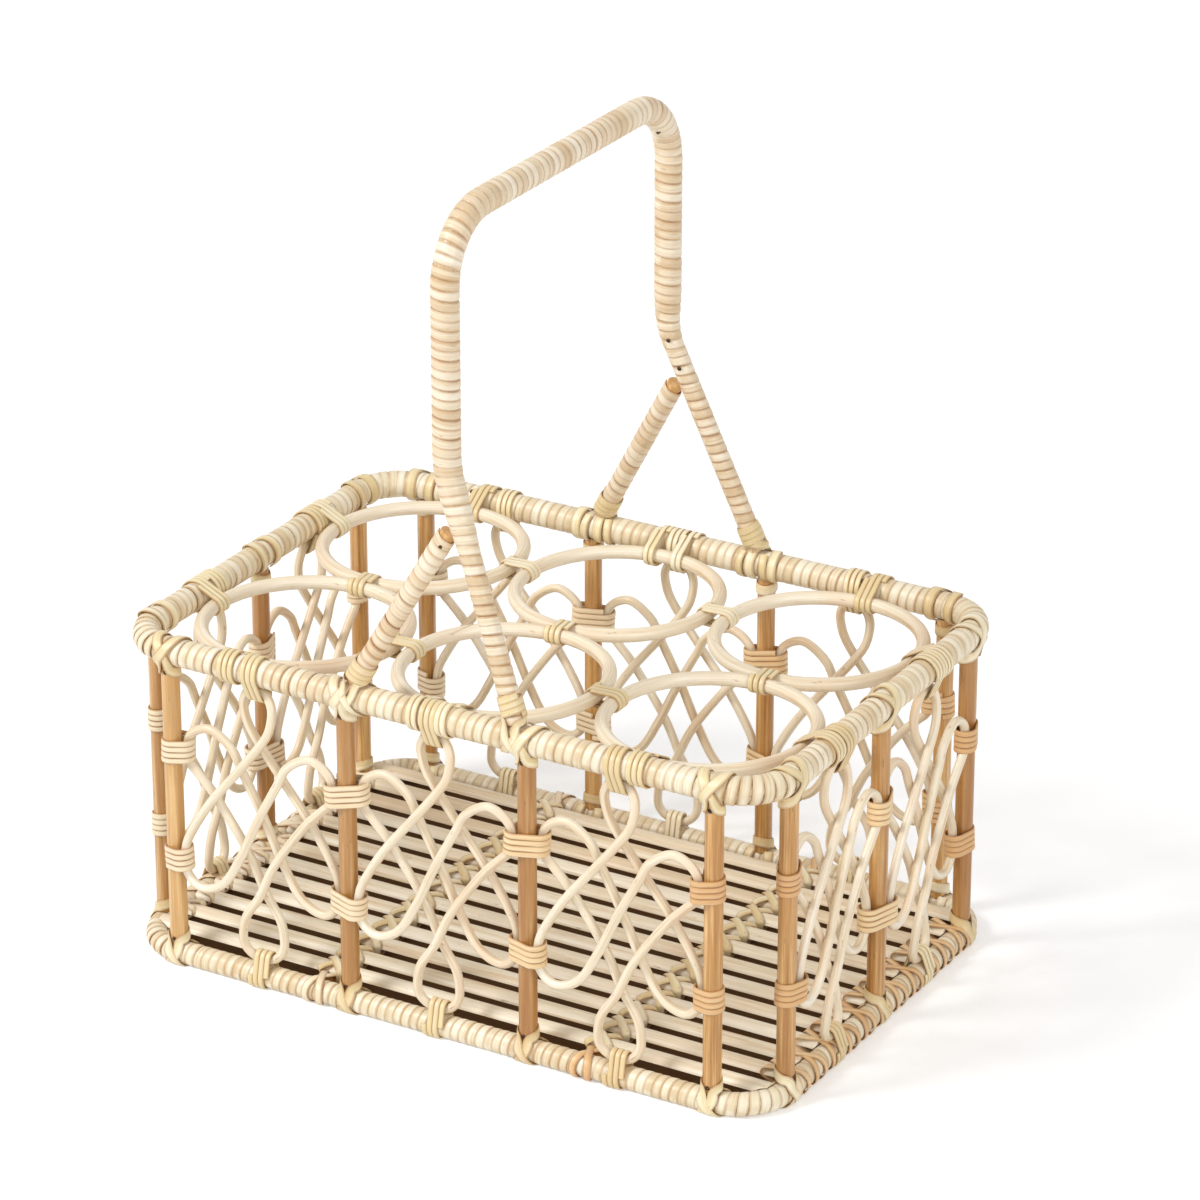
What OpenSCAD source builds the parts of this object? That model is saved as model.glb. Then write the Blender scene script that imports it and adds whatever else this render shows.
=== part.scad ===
// Six-bottle carrier of bent cane: two rounded hoops on posts, ten interlaced scrolls,
// a slatted floor, six bottle rings and an arched handle that forks to both long sides.
// The length runs along X, the front faces -Y, and the origin is the middle of the foot.

/* [Bottle rings] */
// Bore of a bottle ring
ring_bore = 78.4; // [70:0.2:100]
// Thickness of the cane of a bottle ring
ring_cane_d = 5.8; // [4:0.1:8]
// Space between neighbouring rings along the length
ring_space = 3.5; // [0.6:0.1:12]
// Depth of the rings below the middle of the rim
ring_drop = 2; // [0:0.1:5]
// Angle of the slanting cut that joins the two ends of a ring
scarf_angle = 20; // [15:1:45]

/* [Hoops] */
// Thickness of the rim with its winding
rim_cane_d = 12; // [9:0.5:16]
// Thickness of the base hoop with its winding
base_cane_d = 10; // [8:0.5:14]
// Depth of the flat on the underside of the base hoop
base_flat = 0.5; // [0.2:0.1:1]
// Height of the middle of the rim
rim_z = 140; // [110:1:180]
// Radius of the hoops' corners, to the middle of the cane
corner_bend = 21; // [16:0.5:40]

/* [Posts] */
// Thickness of a post
post_cane_d = 7.5; // [5:0.1:10]

/* [Scrolls] */
// Thickness of the scroll strand
scroll_cane_d = 3.9; // [2.5:0.1:5]

/* [Floor] */
// Width of a floor slat
slat_w = 8.4; // [6:0.1:10]
// Height of a floor slat
slat_h = 2.8; // [2:0.1:4]
// Distance from a slat's end to the middle of the base hoop
slat_inset = 3; // [1:0.1:4]
// Thickness of a bearer under the slats
bearer_cane_d = 6; // [4:0.1:7]

/* [Handle] */
// Height of the middle of the grip
grip_z = 341; // [300:1:400]
// Distance of a leg from the middle plane
leg_y = 86; // [60:1:90]
// Thickness of the bare cane of the handle
handle_cane_d = 8.9; // [7:0.1:12]
// Thickness of the winding on the grip
grip_wrap_t = 1.3; // [0.9:0.05:3]
// Radius of the bends at the ends of the grip
grip_bend = 27; // [20:1:45]
// Height at which a leg turns towards its foot
leg_turn_z = 240; // [215:1:260]
// Radius of that turn
leg_turn_bend = 40; // [20:1:60]
// Height at which a strut meets the leg
fork_z = 216; // [190:1:225]
// Distance of a strut's upper end from the middle of the leg, as a share of the cane's thickness
strut_beside_share = 0.8; // [0.5:0.05:0.85]

/* [Bindings] */
// Width of one turn of the winding on the hoop and the handle
winding_w = 4; // [2.5:0.1:5]
// Width of one turn of binding cane
turn_w = 2.5; // [2:0.1:3.2]
// Thickness of the binding cane
turn_t = 0.9; // [0.6:0.1:1.2]
// Height of the upper post bindings
upper_binding_z = 97; // [90:1:104]
// Height of the lower post bindings
lower_binding_z = 49; // [42:1:56]
// Width of the lashings on the slats
lash_w = 2.5; // [1.5:0.1:3]

/* [Hidden] */
$fn = 48;
// Gap between two canes that rest on each other
seat = 0.15;
// Overrun of every cut
over = 2;
// Finest step of a derived size
fine = 0.01;
// Play of a strand in the turns round it, at a post and at a hoop
post_slack = 0.75;
loop_slack = 0.7;
// Height of a groove between turns and of the cane below it, as shares of a turn
groove_share = 0.2;
core_share = 0.6;
// Width of the saw cut in a scarf
saw_cut = 0.4;
// Number of floor slats
slat_count = 13;
// Turns in each kind of binding
post_turns = 4;
loop_turns = 3;
tie_turns = 2;
foot_turns = 3;
// Rings of the scroll strand from one outline point to the next
scroll_steps = 2;
scroll_sides = 6;
handle_sides = 12;
bend_steps = 9;
// The four walls, by the angle from the front wall
front_angle = 0;
right_angle = 90;
back_angle = 180;
left_angle = 270;
wall_angles = [front_angle, right_angle, back_angle, left_angle];
// Angle round each ring at which its scarf lies, in the front row and in the back row
front_cut_angles = [60, 139, 75];
back_cut_angles = [-20, 240, 220];

function snap(v) = round(v / fine) * fine;
function unit(v) = v / norm(v);
function sag(radius, half) = radius - sqrt(radius * radius - half * half);

ring_cane_r = ring_cane_d / 2;
rim_r = rim_cane_d / 2;
base_r = base_cane_d / 2;
post_r = post_cane_d / 2;
scroll_r = scroll_cane_d / 2;
bearer_r = bearer_cane_d / 2;
handle_r = handle_cane_d / 2;
base_z = base_r - base_flat;

// Rings and the hoops that hold them
ring_r = ring_bore / 2 + ring_cane_r;
ring_z = rim_z - ring_drop;
// A ring lies against the turns round the rim, so their thickness is between them
ring_apart = rim_r + seat + turn_t + seat + ring_cane_r;
ring_reach = sqrt(ring_apart * ring_apart - ring_drop * ring_drop);
ring_x = snap(2 * (ring_r + ring_cane_r) + ring_space);
ring_y = snap(ring_r + ring_cane_r + seat / 2);
half_x = snap(ring_x + ring_r + ring_reach);
half_y = snap(ring_y + ring_r + ring_reach);

// Posts, as shares of the straight run of the hoop that carries them
corner_x = half_x - corner_bend;
corner_y = half_y - corner_bend;
long_post_shares = [-1, -1 / 3, 1 / 3, 1];
end_post_shares = [-1, 0, 1];

// Scroll strand: "/" runs lie in the outer layer and "\" runs in the inner layer
layer = scroll_r + seat;
post_reach = snap(sqrt(pow(post_r + scroll_r + seat, 2) - layer * layer));
post_lean = atan2(layer, post_reach);
crown_z = rim_z - rim_r - seat - scroll_r;
bottom_z = base_z + base_r + seat + scroll_r;
scroll_mid_z = (crown_z + bottom_z) / 2;
scroll_half_h = (crown_z - bottom_z) / 2;
// Half of the strand from the crown down to the bottom: shares of the half width,
// of the half height and of the layer
half_strand_shares = [
    [0, 1, 0], [0.12, 0.98, 0.1], [0.2, 0.905, 0.45], [0.205, 0.81, 0.8], [0.15, 0.7, 1],
    [0, 0.57, 1], [-0.28, 0.358, 1], [-0.62, 0.104, 1], [-0.86, -0.12, 1],
    [-0.978, -0.28, 1], [-0.978, -0.46, 1], [-0.78, -0.56, 1], [-0.48, -0.485, 1],
    [-0.23, -0.24, 1], [0, 0.053, 1], [0.27, 0.355, 1], [0.41, 0.505, 1],
    [0.7, 0.605, 1], [0.967, 0.515, 1], [0.978, 0.34, 1], [0.85, 0.25, 1],
    [0.62, 0.104, 1], [0.22, -0.235, 1], [0, -0.51, 1], [-0.19, -0.69, 1],
    [-0.245, -0.84, 0.8], [-0.225, -0.925, 0.45], [-0.13, -0.983, 0.1]
];
strand_shares = concat(
    half_strand_shares,
    [[0, -1, 0]],
    [for (i = [len(half_strand_shares) - 1:-1:1])
        [-half_strand_shares[i][0], half_strand_shares[i][1], -half_strand_shares[i][2]]]
);

// Floor
slat_z = base_z + bearer_r + seat;
slat_pitch = snap(2 * half_y / (slat_count + 1));
bearer_left_share = -0.46;
bearer_right_share = 0.545;

// Handle
foot_x = long_post_shares[2] * corner_x - handle_r;
foot_z = rim_z + rim_r + seat;
leg_top_z = grip_z - grip_bend;
wrap_start_z = snap(leg_turn_z + leg_turn_bend * tan(atan2(foot_x, leg_turn_z - foot_z) / 2) + turn_w);

function is_long(wall) = wall % 180 == 0;

// Puts what is drawn along X, with the outside at -Y, on one of the four walls
module on_wall(wall) {
    rotate([0, 0, wall])
        translate([0, is_long(wall) ? -half_y : -half_x, 0])
            children();
}

function wall_run(wall) = is_long(wall) ? corner_x : corner_y;
function wall_post_shares(wall) = is_long(wall) ? long_post_shares : end_post_shares;

// Straight run of cane along Z, smooth or with a ridge for each turn of its winding
module run(r, length, wound) {
    if (wound) {
        count = round(length / winding_w);
        pitch = length / count;
        valley_r = r - (1 - core_share) * turn_t;
        edge = groove_share / 2;
        rotate_extrude()
            polygon(concat(
                [[0, -length / 2], [valley_r, -length / 2]],
                [for (i = [0:count - 1])
                    let(low = (i + edge) * pitch - length / 2, high = (i + 1 - edge) * pitch - length / 2)
                    each [[valley_r, low], [r, low], [r, high], [valley_r, high]]],
                [[valley_r, length / 2], [0, length / 2]]
            ));
    } else {
        cylinder(r = r, h = length, center = true);
    }
}

// Quarter bend of cane round Z, smooth or with a ridge for each turn of its winding
module quarter_bend(r, radius, wound) {
    rotate_extrude(angle = 90)
        translate([radius, 0])
            circle(r = wound ? r - (1 - core_share) * turn_t : r);
    if (wound) {
        count = round(PI / 2 * radius / winding_w);
        step = 90 / count;
        for (i = [0:count - 1])
            rotate([0, 0, (i + groove_share / 2) * step])
                rotate_extrude(angle = (1 - groove_share) * step)
                    translate([radius, 0])
                        circle(r = r);
    }
}

// Rounded hoop of round cane, to the middle of the cane
module hoop(z, r, wound = false) {
    for (side = [-1, 1]) {
        translate([0, side * half_y, z])
            rotate([0, 90, 0])
                run(r, 2 * corner_x, wound);
        translate([side * half_x, 0, z])
            rotate([90, 0, 0])
                run(r, 2 * corner_y, wound);
    }
    for (quarter = [0:3])
        translate([
            (quarter == 0 || quarter == 3 ? 1 : -1) * corner_x,
            (quarter < 2 ? 1 : -1) * corner_y,
            z
        ])
            rotate([0, 0, 90 * quarter])
                quarter_bend(r, corner_bend, wound);
}

module below_ground() {
    translate([0, 0, -base_r])
        cube([2 * (half_x + rim_cane_d), 2 * (half_y + rim_cane_d), 2 * base_r], center = true);
}

module base_hoop() {
    color("burlywood")
        difference() {
            hoop(base_z, base_r);
            below_ground();
        }
}

// Cane of the rim inside its winding
module top_rim() {
    color("burlywood")
        hoop(rim_z, rim_r - turn_t - seat);
}

module rim_winding() {
    color("wheat")
        difference() {
            hoop(rim_z, rim_r, wound = true);
            hoop(rim_z, rim_r - turn_t);
        }
}

// Post between the hoops, its ends hollowed to sit on them
module post(wall, number) {
    color("peru")
        difference() {
            on_wall(wall)
                translate([wall_post_shares(wall)[number - 1] * wall_run(wall), 0, base_z])
                    cylinder(r = post_r, h = rim_z - base_z);
            hoop(base_z, base_r + seat);
            hoop(rim_z, rim_r + seat);
        }
}

// Bottle ring with its scarf cut, which points at an angle round the ring
module ring(column, row, cut_at) {
    cut_length = ring_cane_d / sin(scarf_angle) + over;
    color("wheat")
        translate([column * ring_x, row * ring_y, ring_z])
            rotate([0, 0, cut_at])
                difference() {
                    rotate_extrude()
                        translate([ring_r, 0])
                            circle(r = ring_cane_r);
                    translate([ring_r, 0, 0])
                        rotate([0, 0, scarf_angle])
                            cube([saw_cut, cut_length, ring_cane_d + over], center = true);
                }
}

// Smooth curve through four neighbouring points of an outline
function between(a, b, c, d, t) =
    (2 * b + (c - a) * t + (2 * a - 5 * b + 4 * c - d) * t * t + (3 * b - a - 3 * c + d) * t * t * t) / 2;

function round_strand(points, steps) =
    let(n = len(points))
    [for (i = [0:n - 1], k = [0:steps - 1])
        between(points[(i + n - 1) % n], points[i], points[(i + 1) % n], points[(i + 2) % n], k / steps)];

// Closed strand of one thickness along points that lie near one upright plane
module closed_strand(path, r, sides) {
    n = len(path);
    points = [for (i = [0:n - 1])
        let(
            along = unit(path[(i + 1) % n] - path[(i + n - 1) % n]),
            across = unit(cross(along, [0, 1, 0])),
            out = cross(across, along)
        )
        for (k = [0:sides - 1]) path[i] + r * (cos(360 * k / sides) * across + sin(360 * k / sides) * out)];
    faces = [for (i = [0:n - 1], k = [0:sides - 1])
        let(
            a = i * sides + k,
            b = i * sides + (k + 1) % sides,
            c = ((i + 1) % n) * sides + (k + 1) % sides,
            d = ((i + 1) % n) * sides + k
        )
        each [[a, b, c], [a, c, d]]];
    polyhedron(points, faces);
}

// Interlaced scroll that fills the bay between two posts
module scroll(wall, bay) {
    shares = wall_post_shares(wall);
    left = shares[bay - 1] * wall_run(wall);
    right = shares[bay] * wall_run(wall);
    half_w = (right - left) / 2 - post_reach;
    outline = [for (p = strand_shares)
        [p[0] * half_w, -p[2] * layer, p[1] * scroll_half_h]];
    color("cornsilk")
        on_wall(wall)
            translate([(left + right) / 2, 0, scroll_mid_z])
                closed_strand(round_strand(outline, scroll_steps), scroll_r, scroll_sides);
}

// Split-cane slat, flat below and round above, its ends hollowed for the base hoop
module slat(number) {
    crown_r = (slat_w * slat_w / 4 + slat_h * slat_h) / (2 * slat_h);
    color("wheat")
        difference() {
            translate([-half_x + slat_inset, (number - (slat_count + 1) / 2) * slat_pitch, slat_z])
                rotate([90, 0, 90])
                    linear_extrude(height = 2 * (half_x - slat_inset))
                        intersection() {
                            translate([0, slat_h - crown_r])
                                circle(r = crown_r);
                            translate([-slat_w / 2, 0])
                                square([slat_w, slat_h]);
                        }
            hoop(base_z, base_r + seat);
        }
}

// Round bearer across the floor, its ends hollowed for the base hoop
module bearer(share) {
    color("peru")
        difference() {
            translate([share * corner_x, 0, base_z])
                rotate([90, 0, 0])
                    cylinder(r = bearer_r, h = 2 * half_y, center = true);
            hoop(base_z, base_r + seat);
        }
}

// Outline of a lashing round a slat and a bearer, seen along the lashing
module lashing_outline(spread) {
    diagonal = sqrt(2);
    slat_side = slat_w / 2 * diagonal + lash_w / 2 + seat + spread;
    bearer_side = bearer_r * diagonal + lash_w / 2 + seat + spread;
    above_shares = [[0.19, 1], [0.64, 0.83], [0.9, 0.46], [1.02, 0]];
    below_shares = [[1.03, 0.25], [1.03, -0.2], [0.87, -0.65], [0.55, -0.97], [0.25, -1]];
    half = concat(
        [for (p = above_shares) [p[0] * slat_side, slat_z + p[1] * (slat_h + seat + spread)]],
        [for (p = below_shares) [p[0] * bearer_side, base_z + p[1] * (bearer_r + seat + spread)]]
    );
    polygon(concat(half, [for (i = [len(half) - 1:-1:0]) [-half[i][0], half[i][1]]]));
}

// Lashings of one bearer, one at each slat
module slat_lashing(share) {
    color("moccasin")
        for (number = [1:slat_count])
            translate([share * corner_x, (number - (slat_count + 1) / 2) * slat_pitch, 0])
                rotate([90, 0, 45])
                    linear_extrude(height = lash_w, center = true)
                        difference() {
                            lashing_outline(turn_t);
                            lashing_outline(0);
                        }
}

// Round bend between two straight runs
function bend(before, corner, after, radius) =
    let(
        a = unit(before - corner),
        b = unit(after - corner),
        half_angle = acos(a * b) / 2,
        centre = corner + unit(a + b) * radius / sin(half_angle),
        from = corner + a * radius / tan(half_angle) - centre,
        to = corner + b * radius / tan(half_angle) - centre,
        turn = 180 - 2 * half_angle
    )
    [for (k = [0:bend_steps])
        let(t = k / bend_steps)
        centre + (from * sin((1 - t) * turn) + to * sin(t * turn)) / sin(turn)];

// Open cane along a path that never runs along X, both ends cut level
module bent_cane(path, r, sides) {
    n = len(path);
    points = [for (i = [0:n - 1])
        let(
            along = unit(path[min(i + 1, n - 1)] - path[max(i - 1, 0)]),
            across = unit(cross(along, [1, 0, 0])),
            out = cross(along, across),
            level = i == 0 || i == n - 1
        )
        for (k = [0:sides - 1])
            let(offset = r * (cos(360 * k / sides) * across + sin(360 * k / sides) * out))
            path[i] + offset - (level ? along * (offset[2] / along[2]) : [0, 0, 0])];
    walls = [for (i = [0:n - 2], k = [0:sides - 1])
        let(
            a = i * sides + k,
            b = i * sides + (k + 1) % sides,
            c = (i + 1) * sides + (k + 1) % sides,
            d = (i + 1) * sides + k
        )
        each [[a, c, b], [a, d, c]]];
    ends = [
        [for (k = [0:sides - 1]) k],
        [for (k = [sides - 1:-1:0]) (n - 1) * sides + k]
    ];
    polyhedron(points, concat(walls, ends));
}

// One cane from the front foot over the grip to the back foot
module handle_hoop() {
    front_top = [0, -leg_y, grip_z];
    back_top = [0, leg_y, grip_z];
    color("burlywood")
        bent_cane(
            concat(
                [main_foot(-1)],
                bend(main_foot(-1), main_turn(-1), front_top, leg_turn_bend),
                bend(main_turn(-1), front_top, back_top, grip_bend),
                bend(front_top, back_top, main_turn(1), grip_bend),
                bend(back_top, main_turn(1), main_foot(1), leg_turn_bend),
                [main_foot(1)]
            ),
            handle_r,
            handle_sides
        );
}

// Straight cane from one point to another
module straight_cane(from, to, r) {
    run = to - from;
    translate(from)
        rotate([0, acos(run[2] / norm(run)), atan2(run[1], run[0])])
            cylinder(r = r, h = norm(run));
}

// Ends of the limbs on the long side at -Y or +Y
function main_foot(side) = [foot_x, side * half_y, foot_z];
function main_turn(side) = [0, side * leg_y, leg_turn_z];
function strut_foot(side) = [-foot_x, side * half_y, foot_z];
function fork(side) =
    main_foot(side) + (main_turn(side) - main_foot(side)) * (fork_z - foot_z) / (leg_turn_z - foot_z);
function strut_top(side) = fork(side) - [strut_beside_share * handle_cane_d, 0, 0];

// Second limb of a fork, level at its foot; its cut upper end lies beside the leg and is hollowed to fit it
module handle_strut(side) {
    below = unit(strut_foot(side) - strut_top(side)) * handle_cane_d;
    color("burlywood")
        difference() {
            straight_cane(strut_top(side), strut_foot(side) + below, handle_r);
            straight_cane(main_foot(side), main_turn(side), handle_r + seat);
            translate(strut_foot(side) - [0, 0, handle_cane_d])
                cube([4, 4, 2] * handle_cane_d, center = true);
        }
}

// Legs, bends and grip from a height upward
module arch(r, start_z, wound = false) {
    for (side = [-1, 1]) {
        translate([0, side * leg_y, (start_z + leg_top_z) / 2])
            run(r, leg_top_z - start_z, wound);
        rotate([0, 0, side > 0 ? 0 : 180])
            translate([0, leg_y - grip_bend, leg_top_z])
                rotate([90, 0, 90])
                    quarter_bend(r, grip_bend, wound);
    }
    translate([0, 0, grip_z])
        rotate([90, 0, 0])
            run(r, 2 * (leg_y - grip_bend), wound);
}

// Winding of the legs and the grip
module handle_wrap() {
    color("wheat")
        difference() {
            arch(handle_r + seat + grip_wrap_t, wrap_start_z, wound = true);
            arch(handle_r + seat, wrap_start_z - over);
        }
}

// Outline of a turn drawn tight round two canes
module belt(big_r, small_r, apart) {
    lean = acos((big_r - small_r) / apart);
    // The straight sides start a little inside the circles and so cross them
    inner_share = 0.98;
    reach = inner_share * cos(lean);
    width = inner_share * sin(lean);
    circle(r = big_r);
    translate([apart, 0])
        circle(r = small_r);
    polygon([
        [big_r * reach, -big_r * width],
        [apart + small_r * reach, -small_r * width],
        [apart + small_r * reach, small_r * width],
        [big_r * reach, big_r * width]
    ]);
}

// Turns side by side along Z, with a shallow groove between them
module turns(count, big_r, small_r, apart) {
    difference() {
        union() {
            linear_extrude(height = count * turn_w, center = true)
                belt(big_r + core_share * turn_t, small_r + core_share * turn_t, apart);
            for (i = [0:count - 1])
                translate([0, 0, (i - (count - 1) / 2) * turn_w])
                    linear_extrude(height = (1 - groove_share) * turn_w, center = true)
                        belt(big_r + turn_t, small_r + turn_t, apart);
        }
        linear_extrude(height = count * turn_w + over, center = true)
            belt(big_r, small_r, apart);
    }
}

// Turns that tie a post to the strands beside it, some of which lie in front and some behind
module post_binding(wall, number, z, slope) {
    shares = wall_post_shares(wall);
    hold_r = post_r + seat;
    strand_end = norm([post_reach, layer]) + scroll_r + post_slack - hold_r;
    before = number > 1 ? strand_end : 0;
    after = number < len(shares) ? strand_end : 0;
    on_wall(wall)
        translate([shares[number - 1] * wall_run(wall), 0, z])
            rotate([0, 0, slope * post_lean])
                translate([-before, 0, 0])
                    turns(post_turns, hold_r, hold_r, before + after);
}

module post_bindings(z, slope) {
    color("moccasin")
        for (wall = wall_angles, number = [1:4])
            if (number <= len(wall_post_shares(wall)))
                post_binding(wall, number, z, slope);
}

// Turns round a hoop and a cane beside it; tilt 0 is below the hoop, 90 inside and 180 above
module hoop_binding(wall, x, z, tilt, count, big_r, small_r, apart) {
    on_wall(wall)
        translate([x, 0, z])
            rotate([tilt, 0, 0])
                rotate([0, 90, 0])
                    turns(count, big_r, small_r, apart);
}

// Middle of each bay of a wall
function bay_places(wall) =
    let(shares = wall_post_shares(wall))
    [for (bay = [1:len(shares) - 1]) (shares[bay - 1] + shares[bay]) / 2 * wall_run(wall)];

module loop_bindings(z, tilt, big_r) {
    for (wall = wall_angles, x = bay_places(wall))
        hoop_binding(
            wall, x, z, tilt, loop_turns,
            big_r + seat, scroll_r + loop_slack, big_r + 2 * seat + scroll_r + loop_slack
        );
}

module top_loop_bindings() {
    color("moccasin")
        loop_bindings(rim_z, 0, rim_r);
}

module bottom_loop_bindings() {
    color("moccasin")
        difference() {
            loop_bindings(base_z, 180, base_r);
            below_ground();
        }
}

// Ties of a ring to the rim, beside the tie of the scroll where the two would meet
module ring_to_rim(wall, x, count, off) {
    tilt = 90 - asin(ring_drop / ring_apart);
    play = seat + sag(ring_r, abs(off) + count * turn_w / 2);
    hoop_binding(wall, x + off, rim_z, tilt, count, rim_r + seat, ring_cane_r + play, ring_apart);
}

module ring_bindings() {
    beside = (loop_turns + tie_turns) * turn_w / 2 + 2 * seat;
    end_off = max(0, corner_y / 2 + loop_turns * turn_w + seat - ring_y);
    play = seat + sag(ring_r, loop_turns * turn_w / 2);
    hold_r = ring_cane_r + play;
    color("moccasin") {
        for (wall = [front_angle, back_angle]) {
            for (side = [-1, 1]) {
                ring_to_rim(wall, side * ring_x, loop_turns, 0);
                ring_to_rim(wall, 0, tie_turns, side * beside);
            }
        }
        for (wall = [left_angle, right_angle], side = [-1, 1])
            ring_to_rim(wall, side * ring_y, loop_turns, side * end_off);
        for (column = [-1:1])
            translate([column * ring_x, -ring_y + ring_r, ring_z])
                rotate([90, 0, 0])
                    rotate([0, 90, 0])
                        turns(loop_turns, hold_r, hold_r, 2 * (ring_y - ring_r));
        for (column = [-1, 1], row = [-1, 1])
            translate([column * ring_x / 2 - (ring_x / 2 - ring_r), row * ring_y, ring_z])
                rotate([90, 0, 0])
                    turns(loop_turns, hold_r, hold_r, ring_x - 2 * ring_r);
    }
}

// Turns round a straight limb, just clear of its foot
module foot_binding(foot, top) {
    run = top - foot;
    hold_r = handle_r + seat;
    translate(foot)
        rotate([0, acos(run[2] / norm(run)), atan2(run[1], run[0])])
            translate([0, 0, handle_r + foot_turns * turn_w / 2])
                difference() {
                    union() {
                        cylinder(r = hold_r + core_share * turn_t, h = foot_turns * turn_w, center = true);
                        for (i = [0:foot_turns - 1])
                            translate([0, 0, (i - (foot_turns - 1) / 2) * turn_w])
                                cylinder(r = hold_r + turn_t, h = (1 - groove_share) * turn_w, center = true);
                    }
                    cylinder(r = hold_r, h = foot_turns * turn_w + over, center = true);
                }
}

module handle_bindings() {
    color("moccasin")
        for (side = [-1, 1]) {
            foot_binding(main_foot(side), main_turn(side));
            foot_binding(strut_foot(side), strut_top(side));
        }
}

base_hoop();
top_rim();
rim_winding();
for (number = [1:4]) {
    post(front_angle, number);
    post(back_angle, number);
}
for (number = [1:3]) {
    post(left_angle, number);
    post(right_angle, number);
}
ring(-1, -1, front_cut_angles[0]);  // ring_front_left
ring(0, -1, front_cut_angles[1]);  // ring_front_middle
ring(1, -1, front_cut_angles[2]);  // ring_front_right
ring(-1, 1, back_cut_angles[0]);  // ring_back_left
ring(0, 1, back_cut_angles[1]);  // ring_back_middle
ring(1, 1, back_cut_angles[2]);  // ring_back_right
scroll(front_angle, 1);  // scroll_front_left
scroll(front_angle, 2);  // scroll_front_middle
scroll(front_angle, 3);  // scroll_front_right
scroll(back_angle, 3);  // scroll_back_left
scroll(back_angle, 2);  // scroll_back_middle
scroll(back_angle, 1);  // scroll_back_right
scroll(left_angle, 2);  // scroll_left_front
scroll(left_angle, 1);  // scroll_left_back
scroll(right_angle, 1);  // scroll_right_front
scroll(right_angle, 2);  // scroll_right_back
for (number = [1:slat_count])
    slat(number);
bearer(bearer_left_share);  // bearer_left
bearer(bearer_right_share);  // bearer_right
slat_lashing(bearer_left_share);  // slat_lashing_left
slat_lashing(bearer_right_share);  // slat_lashing_right
handle_hoop();
handle_strut(-1);  // handle_strut_front
handle_strut(1);  // handle_strut_back
handle_wrap();
post_bindings(upper_binding_z, 1);  // post_bindings_upper
post_bindings(lower_binding_z, -1);  // post_bindings_lower
top_loop_bindings();
bottom_loop_bindings();
ring_bindings();
handle_bindings();
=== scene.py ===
"""Looks of the cane bottle carrier: wound hoops and handle, scroll strands, ties, slats and their finish."""
from math import acos, asin, atan2, cos, degrees, hypot, pi, radians, sin, sqrt, tan

import bmesh
import bpy
from mathutils import Matrix, Vector


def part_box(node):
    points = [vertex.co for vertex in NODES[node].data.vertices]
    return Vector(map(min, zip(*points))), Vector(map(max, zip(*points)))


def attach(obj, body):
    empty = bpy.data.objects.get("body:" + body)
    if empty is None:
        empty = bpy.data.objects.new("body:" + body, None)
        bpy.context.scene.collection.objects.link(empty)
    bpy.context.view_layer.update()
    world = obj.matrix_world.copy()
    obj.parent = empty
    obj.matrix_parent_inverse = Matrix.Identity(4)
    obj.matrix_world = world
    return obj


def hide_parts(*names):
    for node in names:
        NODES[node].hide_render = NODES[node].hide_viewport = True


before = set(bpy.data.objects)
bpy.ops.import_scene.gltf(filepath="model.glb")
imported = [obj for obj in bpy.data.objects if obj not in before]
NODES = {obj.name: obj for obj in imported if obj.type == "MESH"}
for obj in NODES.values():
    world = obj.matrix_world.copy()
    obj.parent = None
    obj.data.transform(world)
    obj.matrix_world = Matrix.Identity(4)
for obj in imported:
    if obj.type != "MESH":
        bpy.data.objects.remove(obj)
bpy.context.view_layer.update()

MM = 0.001
BODY = "root"

# The carrier's own sizes, read from the frame
rim_low, rim_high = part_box("rim_winding")
base_low, base_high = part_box("base_hoop")
RIM_R = (rim_high.z - rim_low.z) / 2
RIM_Z = (rim_high.z + rim_low.z) / 2
HALF_X = rim_high.x - RIM_R
HALF_Y = rim_high.y - RIM_R
BASE_R = base_high.x - HALF_X
BASE_Z = base_high.z - BASE_R
post_low, post_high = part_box("post_front_4")
POST_R = (post_high.x - post_low.x) / 2
CORNER_X = (post_high.x + post_low.x) / 2
CORNER_BEND = HALF_X - CORNER_X
CORNER_Y = HALF_Y - CORNER_BEND
ring_low, ring_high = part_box("ring_front_right")
RING_CANE_R = (ring_high.z - ring_low.z) / 2
RING_Z = (ring_high.z + ring_low.z) / 2
RING_X = (ring_high.x + ring_low.x) / 2
RING_Y = -(ring_high.y + ring_low.y) / 2
RING_R = (ring_high.x - ring_low.x) / 2 - RING_CANE_R
slat_low, slat_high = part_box("slat_1")
SLAT_W = slat_high.y - slat_low.y
SLAT_Z = slat_low.z
SLAT_TOP = slat_high.z
SLAT_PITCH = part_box("slat_2")[0].y - slat_low.y
SLAT_COUNT = 13
bearer_low, bearer_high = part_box("bearer_left")
BEARER_R = (bearer_high.x - bearer_low.x) / 2
BEARERS = {"left": (bearer_low.x + bearer_high.x) / 2, "right": sum(c.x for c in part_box("bearer_right")) / 2}
wrap_low, wrap_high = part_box("handle_wrap")

# Sizes that the frame doesn't give, as the maker would set them: canes
SEAT = 0.15 * MM
STRAND_R = 1.95 * MM
LIMB_R = 4.45 * MM
GRIP_R = wrap_high.x
GRIP_Z = wrap_high.z - GRIP_R
LEG_Y = wrap_high.y - GRIP_R
GRIP_BEND = 27 * MM
LEG_TURN_Z = 240 * MM
LEG_TURN_BEND = 40 * MM
FORK_Z = 216 * MM
FOOT_X = CORNER_X / 3 - LIMB_R
FOOT_Z = RIM_Z + RIM_R + SEAT
STRUT_BESIDE = 0.8 * 2 * LIMB_R
STRUT_SLACK = 0.3 * MM
STRUT_WOUND_SHARE = 0.96
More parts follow.
